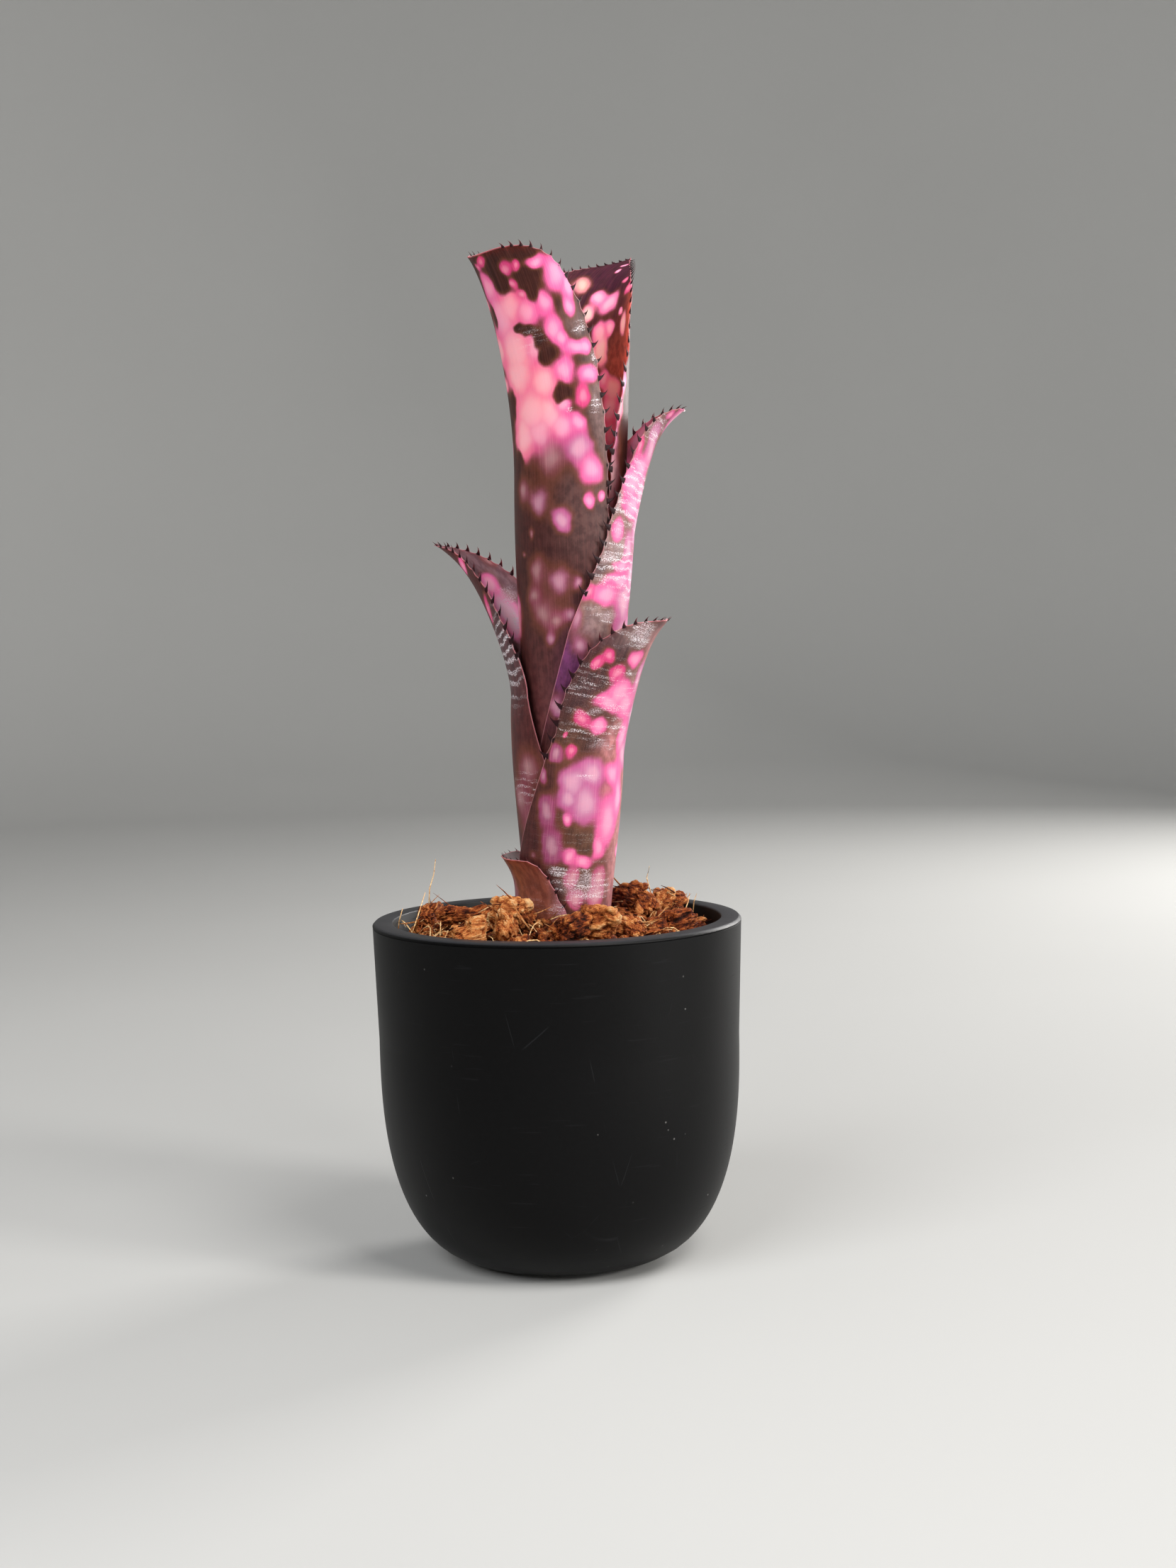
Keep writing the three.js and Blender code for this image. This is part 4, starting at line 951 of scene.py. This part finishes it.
spread = random.Random(11)
for name, design in LEAVES.items():
    leaf = dict(zip(SHAPE_KEYS, design["shape"]))
    slab = bmesh.new()
    bmesh.ops.create_grid(slab, x_segments=design["columns"], y_segments=design["rows"], size=1)
    _, inner_verts = extruded(slab, slab.faces[:], True)
    bmesh.ops.translate(slab, vec=(0, 0, 1), verts=inner_verts)
    mesh = mesh_of(name, slab)
    flat = np.zeros(len(mesh.vertices) * 3)
    mesh.vertices.foreach_get("co", flat)
    side, along, inner = flat.reshape(-1, 3).T
    z = leaf["tip"] - (leaf["tip"] - LEAF_FOOT) * ((1 - along) / 2) ** 1.8
    half = half_width(leaf, z)
    across = side * half

    # Distance from the margin: straight across, and up to the height where the margin crosses over
    heights = np.linspace(leaf["taper"], leaf["tip"], 400)
    crossing = np.interp(np.abs(across), half_width(leaf, heights)[::-1], heights[::-1])
    sideways = half * (1 - np.abs(side))
    upwards = np.maximum(crossing - z, 0)
    from_margin = sideways * upwards / np.sqrt(sideways ** 2 + upwards ** 2 + 1e-9)
    thorns = []
    lowest = leaf["spines"]
    recede = np.zeros_like(z)
    for hand in (-1, 1):
        row = margin_thorns(leaf, hand)
        thorns += row
        place = np.interp(z, [thorn[0] for thorn in row], np.arange(len(row)))
        between = 4 * (place % 1) * (1 - place % 1)
        recede += np.where((side * hand > 0) & (z > lowest), 0.5 * between, 0)
    near = np.clip(1 - from_margin / 2.2, 0, 1) ** 2
    moved = side * (1 - near * recede / np.maximum(half, 1))
    phase = spread.uniform(0, 6)
    wave = 0.22 * np.sin(z * 0.55 + phase + 2 * side) * near * eased((z - lowest) / 8)
    depth = inner * (MARGIN_THICKNESS + (LEAF_THICKNESS - MARGIN_THICKNESS) * eased(from_margin / 2.6))
    placed = leaf_points(leaf, z, moved, depth, wave) * MM
    mesh.vertices.foreach_set("co", placed.ravel())

    # Blotches where the plant has them, and a scatter of the same kind where it isn't seen
    blotches = list(design["blotches"])
    left, right, low = design["seen"]
    while len(blotches) < len(design["blotches"]) + design["scatter"]:
        v = spread.uniform(0, leaf["tip"])
        room = float(half_width(leaf, np.array(v)))
        u = spread.uniform(-room, room)
        size = spread.uniform(1.2, 3.4)
        tint = spread.choice(design["tints"])
        if not (left < u < right and v > low):
            blotches.append((u, v, size, size * spread.uniform(1, 1.5), tint))
    u = across + 0.3 * np.sin(0.7 * z + 0.4 * across) + 0.1 * np.sin(1.9 * z - 1.3 * across + 1)
    v = z + 0.3 * np.sin(0.9 * across + 0.3 * z + 2) + 0.1 * np.sin(1.7 * across - 0.9 * z)
    bare = np.ones_like(z)
    core = np.zeros_like(z)
    weight = np.full_like(z, 1e-9)
    colour = np.zeros((len(z), 3))
    for patch in blotches:
        faint = patch[4] in (MAUVE, PINK_IN_SHADE)
        if faint:
            patch = (patch[0], patch[1], patch[2] * 1.4, patch[3] * 1.4, patch[4])
        strength = covered(patch, u, v, 0.8 if faint else 1.15)
        bare *= 1 - (0.6 if faint else 0.97) * strength
        core = np.maximum(core, covered(patch, u, v))
        weight += strength
        colour += strength[:, None] * np.array(patch[4][:3])
    core = 0.7 * core + 0.3 * (1 - bare) ** 3
    for patch in design.get("gaps", []):
        bare = 1 - (1 - bare) * (1 - covered(patch, u, v, 1.5))
    # The blotches of the inner face are painted brighter, as painted light.
    glow = 1 + (np.array(design.get("glow", (1, 1, 1))) - 1) * inner[:, None]
    colour = np.minimum(colour / weight[:, None] * glow, 0.95)
    ground = np.tile(np.array(design["skin"][:3]), (len(z), 1))
    for patch in design["washes"]:
        shown = inner if patch[4] in INNER_TINTS else 1
        strength = (patch[5] * shown * covered(patch, u, v, 1.5))[:, None]
        ground = ground * (1 - strength) + strength * np.array(patch[4][:3])
    numbers = {
        "blotch": 1 - bare, "core": core, "scurf": strongest(design["scurf"], u, v, 1.2),
        "stripe": strongest(design.get("stripes", []), u, v, 1.3),
        "edge": np.clip(from_margin / 5, 0, 1), "thorn": np.zeros_like(z), "inside": inner,
    }
    for key, value in numbers.items():
        mesh.attributes.new(key, "FLOAT", "POINT").data.foreach_set("value", value.astype(np.float32))
    for key, value in {"blotch_colour": colour, "ground_colour": ground}.items():
        full = np.column_stack([value, np.ones(len(z))]).astype(np.float32)
        mesh.attributes.new(key, "FLOAT_COLOR", "POINT").data.foreach_set("color", full.ravel())
    corners = np.zeros(len(mesh.loops), np.int32)
    mesh.loops.foreach_get("vertex_index", corners)
    uv = np.column_stack([across, z])[corners] / 100
    mesh.uv_layers.new(name="blade").data.foreach_set("uv", uv.astype(np.float32).ravel())

    bm = bmesh.new()
    bm.from_mesh(mesh)
    bpy.data.meshes.remove(mesh)
    bmesh.ops.remove_doubles(bm, verts=bm.verts[:], dist=1e-6)
    bmesh.ops.recalc_face_normals(bm, faces=bm.faces[:])
    for _, root, towards_tip, outwards, size in thorns:
        turn = Matrix((towards_tip, outwards.cross(towards_tip), outwards)).transposed().to_4x4()
        place = Matrix.Scale(MM, 4) @ Matrix.Translation(root) @ turn @ Matrix.Scale(size, 4)
        joined(bm, thorn_mesh, place, keep=True)
    made = piece(name + "_blade", bm, skin, 60)
    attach(made, "root")
    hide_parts(name)


# STUDIO
# A pale floor that sweeps up into a wall all round. Soft lights stand at the right: in front, behind, above,
# and a wide low one beside the pot. A broad fill at the left keeps out of the reflections.
backdrop = Finish("pale_paper")
paper = backdrop.noise(backdrop.add("ShaderNodeTexCoord", out=3), (3, 3, 3), 2)
backdrop.gives(
    Base_Color=backdrop.mixed(paper, paint(172, 172, 170), paint(180, 180, 178)),
    Roughness=0.9 + paper * 0.05)
sweep = turned([
    (0, 0), (900, 0), (1300, 0), (1450, 25), (1570, 100), (1650, 220), (1690, 380), (1700, 600), (1700, 1600),
], 64)
bmesh.ops.reverse_faces(sweep, faces=sweep.faces[:])
floor = piece("floor", sweep, backdrop, 60)

sky = bpy.data.worlds.new("sky")
bpy.context.scene.world = sky
sky.use_nodes = True
air = sky.node_tree.nodes["Background"].inputs
air["Color"].default_value = paint(236, 240, 246)
air["Strength"].default_value = 0.14


def soft_light(name, place, aim, width, height, power, colour):
    """A soft light, given in millimetres, that shines from a place to a point."""
    lamp = bpy.data.lights.new(name, "AREA")
    lamp.shape = "RECTANGLE"
    lamp.size = width * MM
    lamp.size_y = height * MM
    lamp.energy = power
    lamp.color = colour
    holder = bpy.data.objects.new(name, lamp)
    towards = Vector(aim) - Vector(place)
    holder.matrix_world = (Matrix.Translation(Vector(place) * MM)
                           @ towards.to_track_quat("-Z", "Y").to_matrix().to_4x4())
    holder.visible_camera = False
    bpy.context.scene.collection.objects.link(holder)
    return holder


soft_light("window", (1100, -620, 560), (0, 0, 140), 260, 260, 9.2, (1.0, 0.98, 0.95))
soft_light("window_behind", (760, 820, 480), (0, 0, 190), 420, 420, 12.0, (1.0, 0.98, 0.96))
soft_light("window_above", (380, -460, 860), (0, 0, 160), 420, 420, 7.0, (1.0, 0.98, 0.96))
soft_light("bounce", (1260, -440, 240), (0, 0, 100), 900, 340, 4.2, (1.0, 0.99, 0.98))
soft_light("fill", (-520, -760, 760), (0, 0, 150), 700, 700, 10.5, (0.97, 0.98, 1.0)).visible_glossy = False

lens = bpy.data.cameras.new("camera")
lens.sensor_width = 36
lens.lens = 54.03
lens.clip_start = 0.01
camera = bpy.data.objects.new("camera", lens)
camera.matrix_world = (
    Matrix.Translation(Vector((8.707, -603.08, 169.95)) * MM)
    @ Matrix.Rotation(math.radians(90 - 4.516), 4, "X")
    @ Matrix.Rotation(math.radians(-1.171), 4, "Z"))
bpy.context.scene.collection.objects.link(camera)
bpy.context.scene.camera = camera
bpy.context.scene.view_settings.view_transform = "Standard"
